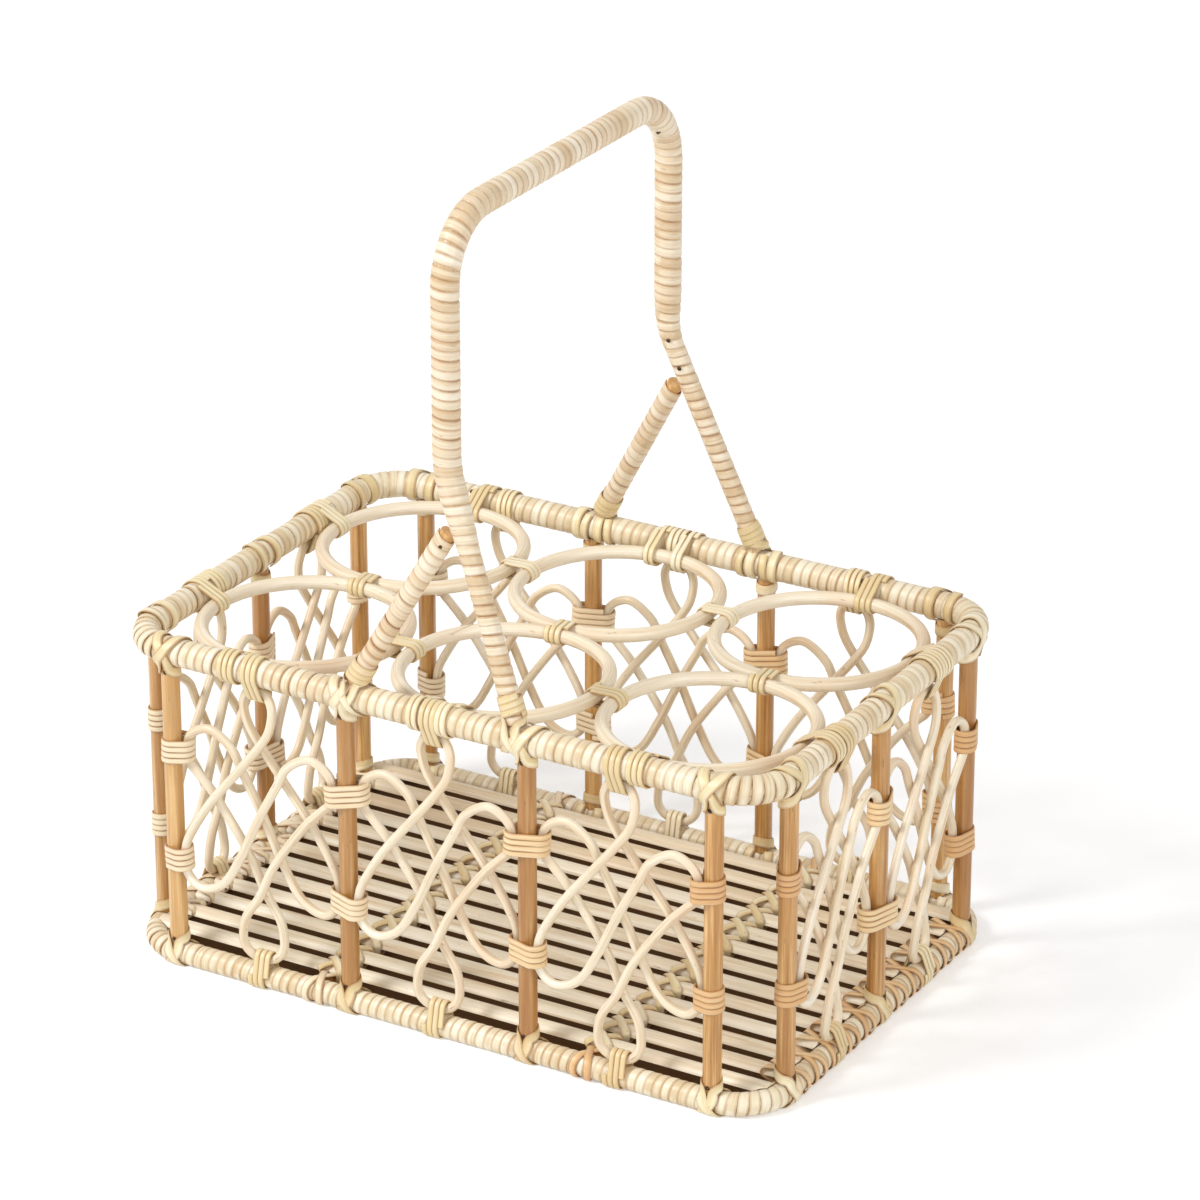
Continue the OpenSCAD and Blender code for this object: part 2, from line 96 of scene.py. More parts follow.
# Steps in a hoop's corner, a bend of the handle, an arc of a tie, a turn of a coil, and from point to point of a strand
CORNER_STEPS, BEND_STEPS, TIE_ARC_STEPS, COIL_STEPS, STRAND_STEPS = 24, 14, 16, 18, 6
# How fast the unevenness changes: a cane's swelling and a winding's slack by the metre, its drift by the turn
SWELL_PACE, SLACK_PACE, DRIFT_PACE = 70.0, 160.0, 0.61

# Windings; the handle's swells from limb to grip between two heights, which lie higher at the back
STRIP_W = 4.25 * MM
STRIP_T = 0.8 * MM
STRIP_ROUNDNESS = 0.7
HANDLE_STRIP_T = 1.1 * MM
RIM_PITCH = 4.05 * MM
BASE_PITCH = 3.85 * MM
HANDLE_PITCH = 4.0 * MM
TAPER_LOW, TAPER_HIGH, TAPER_SLOPE = FORK_Z + 2 * MM, FORK_Z + 30 * MM, 0.15
PADDING_Z = FORK_Z + 34 * MM
PADDING_DEPTH = 0.85 * MM

# Ties and straps
TURN_W = 2.5 * MM
TURN_T = 0.9 * MM
TURN_STRIP_W = TURN_W * 0.97
STRAP_W = 4.4 * MM
STRAP_T = 0.7 * MM
END_STRAP_W, END_STRAP_T = 3.3 * MM, 0.65 * MM
SLAT_STRAP_W = 3.8 * MM
POST_SLACK = 0.75 * MM
LOOP_SLACK = 0.7 * MM
POST_TIE_Z = {"upper": 97 * MM, "lower": 49 * MM}
GROUND = 0.05 * MM
SHARP_FROM, RING_SHARP_FROM = radians(55), radians(35)
# What would reach this far below the ground is squeezed into a band above it
PRESS_DEPTH = 1.7 * MM
PRESS_BAND = 0.5 * MM

# Angle of each wall from the front one
FRONT, RIGHT, BACK, LEFT = 0, 90, 180, 270
WALLS = (FRONT, RIGHT, BACK, LEFT)


def srgb(red, green, blue):
    """A colour as seen on a screen, 0 to 255, in the linear form that the shaders take."""
    def linear(value):
        value /= 255
        return value / 12.92 if value <= 0.04045 else ((value + 0.055) / 1.055) ** 2.4
    return (linear(red), linear(green), linear(blue), 1.0)


class Builder:
    """Adds linked nodes to a node tree, one call for each node."""

    def __init__(self, tree):
        self.tree = tree

    def feed(self, socket, value):
        """Links a socket to another one, or sets its value."""
        if isinstance(value, bpy.types.NodeSocket):
            self.tree.links.new(value, socket)
        else:
            socket.default_value = value

    def node(self, kind, inputs=(), **settings):
        """A node whose inputs are given in order or by name; None leaves one as it is."""
        node = self.tree.nodes.new(kind)
        for name, value in settings.items():
            setattr(node, name, value)
        for key, value in inputs.items() if isinstance(inputs, dict) else enumerate(inputs):
            if value is not None:
                self.feed(node.inputs[key] if isinstance(key, int)
                          else next(s for s in node.inputs if s.name == key and s.enabled), value)
        return node

    def out(self, kind, inputs=(), output=None, **settings):
        """The named output of a new node, or its first one."""
        node = self.node(kind, inputs, **settings)
        return next(s for s in node.outputs if s.enabled and output in (None, s.name))

    def math(self, operation, *values):
        return self.out("ShaderNodeMath", values, operation=operation)

    def times(self, first, *others):
        for other in others:
            first = self.math("MULTIPLY", first, other)
        return first

    def plus(self, first, second):
        return self.math("ADD", first, second)

    def less(self, first, second):
        return self.math("SUBTRACT", first, second)

    def vector(self, operation, *values):
        node = self.node("ShaderNodeVectorMath", operation=operation)
        for socket, value in zip((s for s in node.inputs if s.enabled), values):
            self.feed(socket, value)
        return next(s for s in node.outputs if s.enabled)

    def parts(self, vector):
        return self.node("ShaderNodeSeparateXYZ", (vector,)).outputs

    def joined(self, *parts):
        return self.out("ShaderNodeCombineXYZ", parts)

    def noise(self, dimensions="3D", **inputs):
        return self.out("ShaderNodeTexNoise", inputs, noise_dimensions=dimensions)

    def share_of(self, value, low, high, to_low=0.0, to_high=1.0, **settings):
        """Where a value lies between low and high, as a value between to_low and to_high."""
        return self.node("ShaderNodeMapRange", {
            "Value": value, "From Min": low, "From Max": high, "To Min": to_low, "To Max": to_high},
            **settings).outputs[0]


class ShapeTree(Builder):
    """A Geometry Nodes tree with named inputs, which turns a guide into a plain mesh."""

    def __init__(self, name, sizes, **others):
        super().__init__(bpy.data.node_groups.new(name, "GeometryNodeTree"))
        face = self.tree.interface
        face.new_socket("Guide", in_out="INPUT", socket_type="NodeSocketGeometry")
        face.new_socket("Shape", in_out="OUTPUT", socket_type="NodeSocketGeometry")
        kinds = {label: "Float" for label in (*sizes, "Ground")} | others | {"Finish": "Material"}
        self.identifiers = {
            label: face.new_socket(label, in_out="INPUT", socket_type="NodeSocket" + kind).identifier
            for label, kind in kinds.items()}
        self.given = {s.name: s for s in self.tree.nodes.new("NodeGroupInput").outputs}

    def store(self, shape, name, value, data_type="FLOAT", domain="POINT"):
        return self.out("GeometryNodeStoreNamedAttribute", {"Geometry": shape, "Name": name, "Value": value},
                        data_type=data_type, domain=domain)

    def read(self, name, data_type="FLOAT"):
        return self.out("GeometryNodeInputNamedAttribute", {"Name": name}, data_type=data_type)

    def moved(self, shape, place):
        return self.out("GeometryNodeSetPosition", {"Geometry": shape, "Position": place})

    def facing_out(self, line):
        """The line of a strip, with the outward direction that its guide or its winding gave it."""
        return self.out("GeometryNodeSetCurveNormal", {
            "Curve": line, "Normal": self.read("outward", "FLOAT_VECTOR")}, mode="FREE")

    def repeated(self, points, shape, size=None):
        """The shape at each of the points, turned as the point says."""
        turned = self.out("FunctionNodeEulerToRotation", (self.read("turn", "FLOAT_VECTOR"),))
        return self.out("GeometryNodeInstanceOnPoints", {
            "Points": points, "Instance": shape, "Rotation": turned, "Scale": size})

    def tinted(self, shape, number=None, domain="POINT"):
        """Gives each numbered part a tint of its own, between 0 and 1."""
        tint = self.out("FunctionNodeRandomValue", {
            "Min": 0.0, "Max": 1.0, "ID": number, "Seed": self.given["Seed"]}, data_type="FLOAT")
        return self.store(shape, "tint", tint, domain=domain)

    def strip_profile(self):
        """Cross-section of flat binding cane: its crown is at zero, and it leans so that turns lap like shingles."""
        angle = self.times(self.out("GeometryNodeSplineParameter", output="Factor"), 2 * pi)
        half_width = self.times(self.given["Strip Width"], 0.5)
        half_thickness = self.times(self.given["Strip Thickness"], 0.5)

        def squared(wave):
            return self.times(self.math("SIGN", wave), self.math("POWER", self.math("ABSOLUTE", wave), STRIP_ROUNDNESS))
        across = self.times(squared(self.math("SINE", angle)), half_width)
        rise = self.times(self.less(squared(self.math("COSINE", angle)), 1.0), half_thickness)
        rise = self.plus(rise, self.times(self.less(across, half_width), self.given["Lean"]))
        place = self.joined(rise, across, 0.0)
        circle = self.out("GeometryNodeCurvePrimitiveCircle", {"Resolution": 12, "Radius": 1.0}, mode="RADIUS")
        edge_share = self.math("ABSOLUTE", self.math("DIVIDE", across, half_width))
        profile = self.store(self.moved(circle, place), "edge", edge_share)
        return self.store(profile, "around", place, "FLOAT_VECTOR")

    def sweep(self, line, profile, scale=None):
        """A cane or strip along a line, with its grain kept as (distance along, place in its section)."""
        line = self.store(line, "along", self.out("GeometryNodeSplineParameter", output="Length"))
        shape = self.out("GeometryNodeCurveToMesh", {
            "Curve": line, "Profile Curve": profile, "Scale": scale, "Fill Caps": True})
        section = self.parts(self.read("around", "FLOAT_VECTOR"))
        return self.store(shape, "grain", self.joined(self.read("along"), section[0], section[1]), "FLOAT_VECTOR")

    def end(self, shape):
        """Presses the shape onto what it stands on, layer by layer, and makes it one smooth mesh with its finish."""
        shape = self.out("GeometryNodeRealizeInstances", {"Geometry": shape})
        x, y, z = self.parts(self.out("GeometryNodeInputPosition"))
        lowest, highest = self.given["Ground"], self.plus(self.given["Ground"], PRESS_BAND)
        pressed = self.share_of(z, self.less(lowest, PRESS_DEPTH), highest, lowest, highest)
        shape = self.moved(shape, self.joined(x, y, self.math("MAXIMUM", z, pressed)))
        shape = self.out("GeometryNodeSetShadeSmooth", {"Geometry": shape})
        shape = self.out("GeometryNodeSetMaterial", {"Geometry": shape, "Material": self.given["Finish"]})
        self.tree.links.new(shape, self.tree.nodes.new("NodeGroupOutput").inputs[0])


def round_cane_tree():
    """Round cane along a curve, slightly uneven in thickness."""
    tree = ShapeTree("round_cane", ("Thickness", "Step", "Unevenness"), Sides="Int", Seed="Int")
    given, place = tree.given, tree.out("GeometryNodeInputPosition")
    line = tree.out("GeometryNodeResampleCurve", {"Curve": given["Guide"], "Length": given["Step"]}, mode="LENGTH")
    profile = tree.out("GeometryNodeCurvePrimitiveCircle", {
        "Resolution": given["Sides"], "Radius": tree.times(given["Thickness"], 0.5)}, mode="RADIUS")
    profile = tree.store(profile, "around", place, "FLOAT_VECTOR")
    swell = tree.noise("4D", Vector=place, W=given["Seed"], Scale=SWELL_PACE, Detail=1.0)
    tree.end(tree.sweep(line, profile, tree.less(1.0, tree.times(swell, given["Unevenness"]))))
    return tree


def winding_tree():
    """One flat strip wound round a cane from end to end, thin where the cane is low and thick where it is high."""
    tree = ShapeTree("winding", (
        "Low Radius", "High Radius", "Low Height", "High Height", "Height Slope", "Pitch", "Strip Width",
        "Strip Thickness", "Lean", "Looseness", "Unevenness"), Steps="Int", Side="Vector", Seed="Int")
    given = tree.given
    turns = tree.math("ROUND", tree.math("DIVIDE", tree.out("GeometryNodeCurveLength", (given["Guide"],)),
                                         given["Pitch"]))
    line = tree.out("GeometryNodeCurvePrimitiveLine", {"End": (0.0, 0.0, 1.0)}, mode="POINTS")
    line = tree.out("GeometryNodeResampleCurve", {
        "Curve": line, "Count": tree.plus(tree.times(turns, given["Steps"]), 1.0)}, mode="COUNT")
    line = tree.store(line, "share", tree.out("GeometryNodeSplineParameter", output="Factor"))
    share = tree.read("share")
    wound = tree.times(share, turns)
    sample = tree.node("GeometryNodeSampleCurve", {"Curves": given["Guide"], "Factor": share}, mode="FACTOR")
    middle, tangent = sample.outputs["Position"], sample.outputs["Tangent"]

    outward = tree.vector("NORMALIZE", tree.vector("CROSS_PRODUCT", tangent, given["Side"]))
    upward = tree.vector("CROSS_PRODUCT", outward, tangent)
    angle = tree.times(wound, 2 * pi)
    radial = tree.vector("ADD", tree.vector("SCALE", outward, tree.math("COSINE", angle)),
                         tree.vector("SCALE", upward, tree.math("SINE", angle)))
    spot = tree.parts(middle)
    height = tree.less(spot[2], tree.times(spot[1], given["Height Slope"]))
    radius = tree.share_of(height, given["Low Height"], given["High Height"], given["Low Radius"],
                           given["High Radius"], interpolation_type="SMOOTHSTEP")
    slack = tree.noise("4D", Vector=middle, W=given["Seed"], Scale=SLACK_PACE, Detail=1.0)
    radius = tree.less(radius, tree.times(slack, given["Looseness"]))
    drift = tree.noise("1D", W=tree.plus(tree.times(wound, DRIFT_PACE), given["Seed"]), Scale=1.0, Detail=1.0)
    drift = tree.times(tree.less(drift, 0.5), tree.times(given["Pitch"], given["Unevenness"]))
    place = tree.vector("ADD", middle, tree.vector("SCALE", radial, radius))
    place = tree.vector("ADD", place, tree.vector("SCALE", tangent, drift))

    line = tree.facing_out(tree.moved(tree.store(line, "outward", radial, "FLOAT_VECTOR"), place))
    tree.end(tree.tinted(tree.sweep(line, tree.strip_profile()), tree.math("FLOOR", wound)))
    return tree


def tie_tree():
    """A strip along a given path, repeated at each of its places."""
    tree = ShapeTree("tie", ("Strip Width", "Strip Thickness", "Lean"), Places="Object", Seed="Int")
    line = tree.out("GeometryNodeMeshToCurve", {"Mesh": tree.given["Guide"]})
    strip = tree.sweep(tree.facing_out(line), tree.strip_profile())
    places = tree.out("GeometryNodeObjectInfo", {"Object": tree.given["Places"]}, output="Geometry")
    tree.end(tree.tinted(tree.repeated(places, strip), domain="INSTANCE"))
    return tree


def nail_tree():
    """A low domed nail head at each of its places."""
    tree = ShapeTree("nail_heads", ("Head Width", "Head Height"))
    head = tree.out("GeometryNodeMeshUVSphere", {"Segments": 10, "Rings": 6, "Radius": 0.5}, output="Mesh")
    size = tree.joined(tree.given["Head Width"], tree.given["Head Width"], tree.given["Head Height"])
    tree.end(tree.repeated(tree.given["Guide"], head, size))
    return tree


def link(name, data):
    shape = bpy.data.objects.new(name, data)
    bpy.context.scene.collection.objects.link(shape)
    return shape


def grow(tree, name, guide, finish, **sizes):
    """Runs a tree on a guide and leaves a plain mesh object in the guide's place."""
    modifier = guide.modifiers.new(tree.tree.name, "NODES")
    modifier.node_group = tree.tree
    for label, value in {**sizes, "Finish": FINISHES[finish]}.items():
        modifier[tree.identifiers[label.replace("_", " ")]] = value
    mesh = bpy.data.meshes.new_from_object(guide.evaluated_get(bpy.context.evaluated_depsgraph_get()))
    mesh.name = name
    bpy.data.objects.remove(guide)
    mesh.set_sharp_from_angle(angle=SHARP_FROM)
    return link(name, mesh)


def join(name, shapes):
    """One object from several, with all their attributes."""
    bpy.ops.object.select_all(action="DESELECT")
    for shape in shapes:
        shape.select_set(True)
    bpy.context.view_layer.objects.active = shapes[0]
    if len(shapes) > 1:
        bpy.ops.object.join()
    shapes[0].name = name
    return shapes[0]


def settle(shape, slot, *nodes):
    """Fixes a finished piece to the carrier and hides the nodes that it stands for."""
    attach(shape, BODY)
    if nodes:
        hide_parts(*nodes)
    return shape


def curve_guide(points, closed=False):
    data = bpy.data.curves.new("guide", "CURVE")
    data.dimensions = "3D"
    spline = data.splines.new("POLY")
    spline.points.add(len(points) - 1)
    for point, place in zip(spline.points, points):
        point.co = (*place, 1.0)
    spline.use_cyclic_u = closed
    return link("guide", data)


def marked_guide(name, pairs, mark, edges=()):
    """Points from pairs of a place and a vector, which each point keeps under the name of the mark."""
    data = bpy.data.meshes.new(name)
    data.from_pydata([place for place, _ in pairs], edges, [])
    attribute = data.attributes.new(mark, "FLOAT_VECTOR", "POINT")
    for kept, (_, vector) in zip(attribute.data, pairs):
        kept.vector = tuple(vector)
    return link(name, data)


def strip_guide(path, closed):
    """A guide from (place, outward direction) pairs."""
    count = len(path)
    edges = [(i, (i + 1) % count) for i in range(count if closed else count - 1)]
    return marked_guide("guide", path, "outward", edges)


def place_guide(places):
    """Points from (place, Euler turn) pairs."""
    return marked_guide("places", places, "turn")


# Finishes

def finish_nodes(name):
    material = bpy.data.materials.new(name)
    material.use_nodes = True
    material.node_tree.nodes.clear()
    return material, Builder(material.node_tree)


def finished(material, paint, relief, strength, depth, looks):
    """Ends a material with its relief and what else is given for its surface."""
    bump = paint.out("ShaderNodeBump", {"Strength": strength, "Distance": depth, "Height": relief})
    shader = paint.out("ShaderNodeBsdfPrincipled", {"Normal": bump, **looks})
    paint.node("ShaderNodeOutputMaterial", {"Surface": shader})
    return material


def ramp(paint, value, stops):
    """A smooth colour ramp from (place, colour) stops."""
    node = paint.node("ShaderNodeValToRGB", (value,))
    elements = node.color_ramp.elements
    for i, (place, colour) in enumerate(stops):
        element = elements[i] if i < 2 else elements.new(place)
        element.position = place
        element.color = colour
    return node.outputs[0]


def mixed(paint, share, first, second, blend="MIX"):
    """Two colours mixed; the numbers are those of the node's factor and its two colours."""
    node = paint.node("ShaderNodeMix", data_type="RGBA", blend_type=blend)
    for i, value in ((0, share), (6, first), (7, second)):
        paint.feed(node.inputs[i], value)
    return node.outputs[2]


def frame_place(paint):
    """Object coordinates, which are the frame's, as no object is moved."""
    return paint.out("ShaderNodeTexCoord", output="Object")


def carried(paint, name, output):
    """What a piece carries under a name."""
    return paint.out("ShaderNodeAttribute", output=output, attribute_name=name)


def own_grain(paint):
    """Grain that a wound or bent piece carries with it."""
    return carried(paint, "grain", "Vector")


def own_tint(paint):
    """Tint of each turn of a winding, or of each tie."""
    return carried(paint, "tint", "Fac")


def straight_grain(axis):
    """Grain of a straight cane along one axis of the frame."""
    first = "XYZ".index(axis)

    def grain(paint):
        place = paint.parts(frame_place(paint))
        return paint.joined(*(place[(first + i) % 3] for i in range(3)))
    return grain


def cell_tint(size):
    """A tint that differs from one straight cane to the next."""
    def tint(paint):
        cell = paint.node("ShaderNodeMapping", {
            "Vector": frame_place(paint), "Location": (0.5, 0.5, 0.5),
            "Scale": [1 / s if s else 0.0 for s in size]}).outputs[0]
        return paint.out("ShaderNodeTexWhiteNoise", {"Vector": paint.vector("FLOOR", cell)}, output="Value",
                         noise_dimensions="3D")
    return tint


def stretched_noise(paint, grain, along, across, detail, shift):
    """Noise whose spots are 1 / along metres long and 1 / across metres wide."""
    node = paint.node("ShaderNodeMapping", {
        "Vector": grain, "Location": (shift, shift, shift), "Scale": (along, across, across)})
    return paint.noise(Vector=node.outputs[0], Scale=1.0, Detail=detail, Roughness=0.6)


def cane_finish(name, tones, grain_of, tint_of=None, edge=None, painted_light_tone=None, blush=0.35, roughness=0.42, coat=0.15,
                coat_roughness=0.3):
    """Cane with its fibres, streaks and scars along its grain, in tones from pale over mid and deep to the scars'.

    Edge is the tone of the painted shade at a strip's edges, in the grooves between turns; the tone after it is painted
    light, paler on the left where the key light falls; blush is the share of pinkish patches."""
    material, paint = finish_nodes(name)
    pale, mid, deep, scar = (srgb(*tone) for tone in tones)
    place, grain = frame_place(paint), grain_of(paint)
    streaks = stretched_noise(paint, grain, 14.0, 420.0, 3.0, 3.1)
    fibres = stretched_noise(paint, grain, 60.0, 2400.0, 2.0, 7.7)
    clouds = stretched_noise(paint, grain, 32.0, 70.0, 4.0, 1.3)
    scars = stretched_noise(paint, grain, 150.0, 700.0, 3.0, 5.9)
    layers = [(paint.share_of(clouds, 0.42, 0.72, 0.0, 0.75), mid),
              (paint.share_of(fibres, 0.45, 0.8, 0.0, 0.5), deep),
              (paint.share_of(scars, 0.66, 0.76, 0.0, 0.7), scar)]
    if tint_of:
        tint = tint_of(paint)
        layers += [(paint.share_of(tint, 0.5, 1.0, 0.0, 0.6), deep), (paint.share_of(tint, 0.0, 0.4, 0.5, 0.0), pale)]
    # Painted light: paler towards the left, where the key light falls
    if painted_light_tone:
        side = paint.parts(place)[0]
        layers.append((paint.share_of(side, -PAINTED_LIGHT_REACH, PAINTED_LIGHT_REACH, 0.75, 0.0), srgb(*painted_light_tone)))
    # Painted shade: each strip's edges are darker, in patches, where the grooves between turns lie
    if edge:
        patchy_groove_shade = paint.share_of(paint.noise(Vector=place, Scale=60.0, Detail=2.0), 0.35, 0.65, 0.35, 0.95)
        rim = paint.share_of(carried(paint, "edge", "Fac"), 0.75, 1.0)
        layers.append((paint.times(rim, patchy_groove_shade), srgb(*edge)))
    colour = ramp(paint, streaks, ((0.32, pale), (0.52, mid), (0.7, deep)))
    for share, tone in layers:
        colour = mixed(paint, share, colour, tone)
    patches = paint.noise(Vector=place, Scale=26.0, Detail=2.0)
    colour = mixed(paint, paint.share_of(patches, 0.5, 0.75, 0.0, blush), colour, srgb(*PINKISH), "MULTIPLY")
    relief = paint.plus(paint.times(fibres, 0.5), streaks)
    shine = paint.share_of(streaks, 0.3, 0.8, roughness - 0.08, roughness + 0.14)
    return finished(material, paint, relief, 0.45, 0.12 * MM, {
        "Base Color": colour, "Roughness": shine, "Coat Weight": coat, "Coat Roughness": coat_roughness})


def steel_finish():
    material, paint = finish_nodes("dark_nail_steel")
    rust = paint.noise(Vector=frame_place(paint), Scale=900.0, Detail=3.0)
    colour = ramp(paint, rust, ((0.35, srgb(52, 44, 40)), (0.7, srgb(104, 78, 58))))
    return finished(material, paint, rust, 0.3, 0.1 * MM, {"Base Color": colour, "Metallic": 0.8, "Roughness": 0.45})


# Tones on a screen, 0 to 255, and how far to each side of the middle the painted light on the left fades out
CREAM, STRAW, TAN, BROWN = (250, 242, 223), (239, 226, 194), (211, 183, 139), (154, 112, 70)
PALE, OAT, SAND, RUSSET = (250, 243, 226), (240, 225, 197), (214, 186, 146), (158, 116, 78)
HONEY, AMBER, UMBER, SEPIA = (240, 200, 138), (198, 146, 78), (158, 104, 50), (96, 60, 30)
PINKISH = (236, 196, 164)
PAINTED_LIGHT_REACH = 60 * MM

# In a finish, the tone after the grain and tint is the painted shade at a strip's edges, in the grooves between turns
FINISHES = {
    "winding": cane_finish("wound_strip", (CREAM, STRAW, TAN, BROWN), own_grain, own_tint, (188, 150, 102),
                           blush=0.12),
    "handle_winding": cane_finish("handle_strip", ((249, 240, 221), (238, 220, 189), (208, 176, 132), BROWN),
                                  own_grain, own_tint, (186, 144, 100), blush=0.25),
    "binding": cane_finish("binding_strip", (CREAM, (243, 228, 182), (218, 190, 134), BROWN), own_grain, own_tint,
                           (186, 144, 92), blush=0.18),
    # Its last tone is painted light, which makes the post bindings paler towards the left, where the key light falls
    "post_binding": cane_finish("golden_binding_strip", ((246, 224, 180), (236, 200, 146), (210, 158, 102), BROWN),
                                own_grain, own_tint, (170, 122, 76), (246, 234, 204)),
    "core": cane_finish("cane_under_winding", (STRAW, TAN, (184, 144, 100), BROWN), own_grain),
    "bare_end": cane_finish("bare_cane_end", (HONEY, (216, 170, 108), AMBER, UMBER), own_grain),
    "rim_core": cane_finish("rim_cane", (STRAW, TAN, BROWN, SEPIA), straight_grain("X")),
    "strand": cane_finish("scroll_cane", (PALE, OAT, SAND, RUSSET), own_grain, roughness=0.36),
    "ring": cane_finish("ring_cane", (PALE, OAT, SAND, RUSSET), own_grain, roughness=0.36),
    "post": cane_finish("post_cane", (HONEY, AMBER, UMBER, SEPIA), straight_grain("Z"),
                        cell_tint((20 * MM, 20 * MM, 0)), blush=0.15, roughness=0.34, coat=0.45, coat_roughness=0.22),
    "bearer": cane_finish("bearer_cane", (HONEY, AMBER, UMBER, SEPIA), straight_grain("Y"), coat=0.3),
    "slat": cane_finish("split_cane", (PALE, (244, 231, 203), (216, 188, 148), RUSSET), straight_grain("X"),
                        cell_tint((0, SLAT_PITCH, 0)), blush=0.2),
    "nail": steel_finish(),
}

# CAD nodes whose shape stays, by the start of their name
KEPT_NODES = {"post_front": "post", "post_back": "post", "post_left": "post", "post_right": "post",
              "slat_": "slat", "bearer_": "bearer", "top_rim": "rim_core"}

ROUND_CANE, WINDING, TIE, NAILS = round_cane_tree(), winding_tree(), tie_tree(), nail_tree()


# Walls, hoops and strands

def turn(*steps):
    """Euler angles of turns given as (degrees, axis), of which the last is made first."""
    total = Matrix.Identity(3)
    for angle, axis in steps:
        total = total @ Matrix.Rotation(radians(angle), 3, axis)
    return total.to_euler()


def wall_matrix(wall):
    """From a wall's own frame, along X with the outside at -Y, to the carrier's."""
    reach = HALF_Y if wall % 180 == 0 else HALF_X
    return Matrix.Rotation(radians(wall), 4, "Z") @ Matrix.Translation((0, -reach, 0))


def wall_place(wall, x):
    """A place under the middle of a wall's hoops, turned as the wall is."""
    return wall_matrix(wall) @ Vector((x, 0, 0)), (0, 0, radians(wall))


def post_places(wall):
    if wall % 180 == 0:
        return [share * CORNER_X for share in (-1, -1 / 3, 1 / 3, 1)]
    return [share * CORNER_Y for share in (-1, 0, 1)]


def bay_places(wall):
    posts = post_places(wall)
    return [(a + b) / 2 for a, b in zip(posts, posts[1:])]


def hoop_guide(z):
    """The middle of a rounded hoop, from the back end of its right wall and round by the back."""
    points = []
    for quarter, (x, y) in enumerate(((CORNER_X, CORNER_Y), (-CORNER_X, CORNER_Y), (-CORNER_X, -CORNER_Y),
                                      (CORNER_X, -CORNER_Y))):
        for step in range(CORNER_STEPS + 1):
            angle = radians(90 * quarter + 90 * step / CORNER_STEPS)
            points.append((x + CORNER_BEND * cos(angle), y + CORNER_BEND * sin(angle), z))
    return curve_guide(points, closed=True)


def core(name, guide, radius, sides, *nodes, finish="core"):
    """A round cane that has a winding."""
    shape = grow(ROUND_CANE, name, guide, finish, Thickness=2 * radius, Step=2 * MM, Sides=sides)
    settle(shape, "wound_cane", *nodes)


def wind(name, node, guide, radius, pitch, side, seed, finish="winding", **others):
    """A strip wound round the whole of a guide, from its side; others are the sizes that differ from the usual."""
    sizes = dict(
        Low_Radius=radius, High_Radius=radius, High_Height=1.0, Pitch=pitch, Strip_Width=STRIP_W,
        Strip_Thickness=STRIP_T, Lean=0.04, Steps=18, Side=side, Looseness=0.25 * MM, Unevenness=0.3, Seed=seed)
    settle(grow(WINDING, name, guide, finish, **(sizes | others)), "wound_cane", node)


def hoops():
    """Base cane and the windings of the base and the rim."""
    core("base_cane", hoop_guide(BASE_Z), BASE_R - STRIP_T, 20)
    wind("base_winding", "base_hoop", hoop_guide(BASE_Z), BASE_R, BASE_PITCH, (0.0, 0.0, 1.0), 3)
    wind("rim_strip", "rim_winding", hoop_guide(RIM_Z), RIM_R, RIM_PITCH, (0.0, 0.0, 1.0), 5)


# The strand lies in two layers, one on each side of the posts' middle; its loops reach the posts and both hoops
LAYER = STRAND_R + SEAT
POST_REACH = sqrt((POST_R + STRAND_R + SEAT) ** 2 - LAYER ** 2)
POST_LEAN = degrees(atan2(LAYER, POST_REACH))
CROWN_Z = RIM_Z - RIM_R - SEAT - STRAND_R
BOTTOM_Z = BASE_Z + BASE_R + SEAT + STRAND_R
# Half of a strand, as shares of the bay's half width, of its half height, and of a layer outwards
HALF_STRAND_SHARES = (
    (0, 1, 0), (0.12, 0.98, 0.1), (0.2, 0.905, 0.45), (0.205, 0.81, 0.8), (0.15, 0.7, 1),
    (0, 0.57, 1), (-0.28, 0.358, 1), (-0.62, 0.104, 1), (-0.86, -0.12, 1),
    (-0.978, -0.28, 1), (-0.978, -0.46, 1), (-0.78, -0.56, 1), (-0.48, -0.485, 1),
    (-0.23, -0.24, 1), (0, 0.053, 1), (0.27, 0.355, 1), (0.41, 0.505, 1),
    (0.7, 0.605, 1), (0.967, 0.515, 1), (0.978, 0.34, 1), (0.85, 0.25, 1),
    (0.62, 0.104, 1), (0.22, -0.235, 1), (0, -0.51, 1), (-0.19, -0.69, 1),
    (-0.245, -0.84, 0.8), (-0.225, -0.925, 0.45), (-0.13, -0.983, 0.1),
)
STRAND_NAMES = {
    FRONT: ("front_left", "front_middle", "front_right"), BACK: ("back_right", "back_middle", "back_left"),
    LEFT: ("left_back", "left_front"), RIGHT: ("right_front", "right_back")}


def smooth_point(a, b, c, d, t):
    """The point at a share t of the way from b to c, on a smooth curve through a, b, c and d."""
    return (2 * b + (c - a) * t + (2 * a - 5 * b + 4 * c - d) * t ** 2 + (3 * b - a - 3 * c + d) * t ** 3) / 2


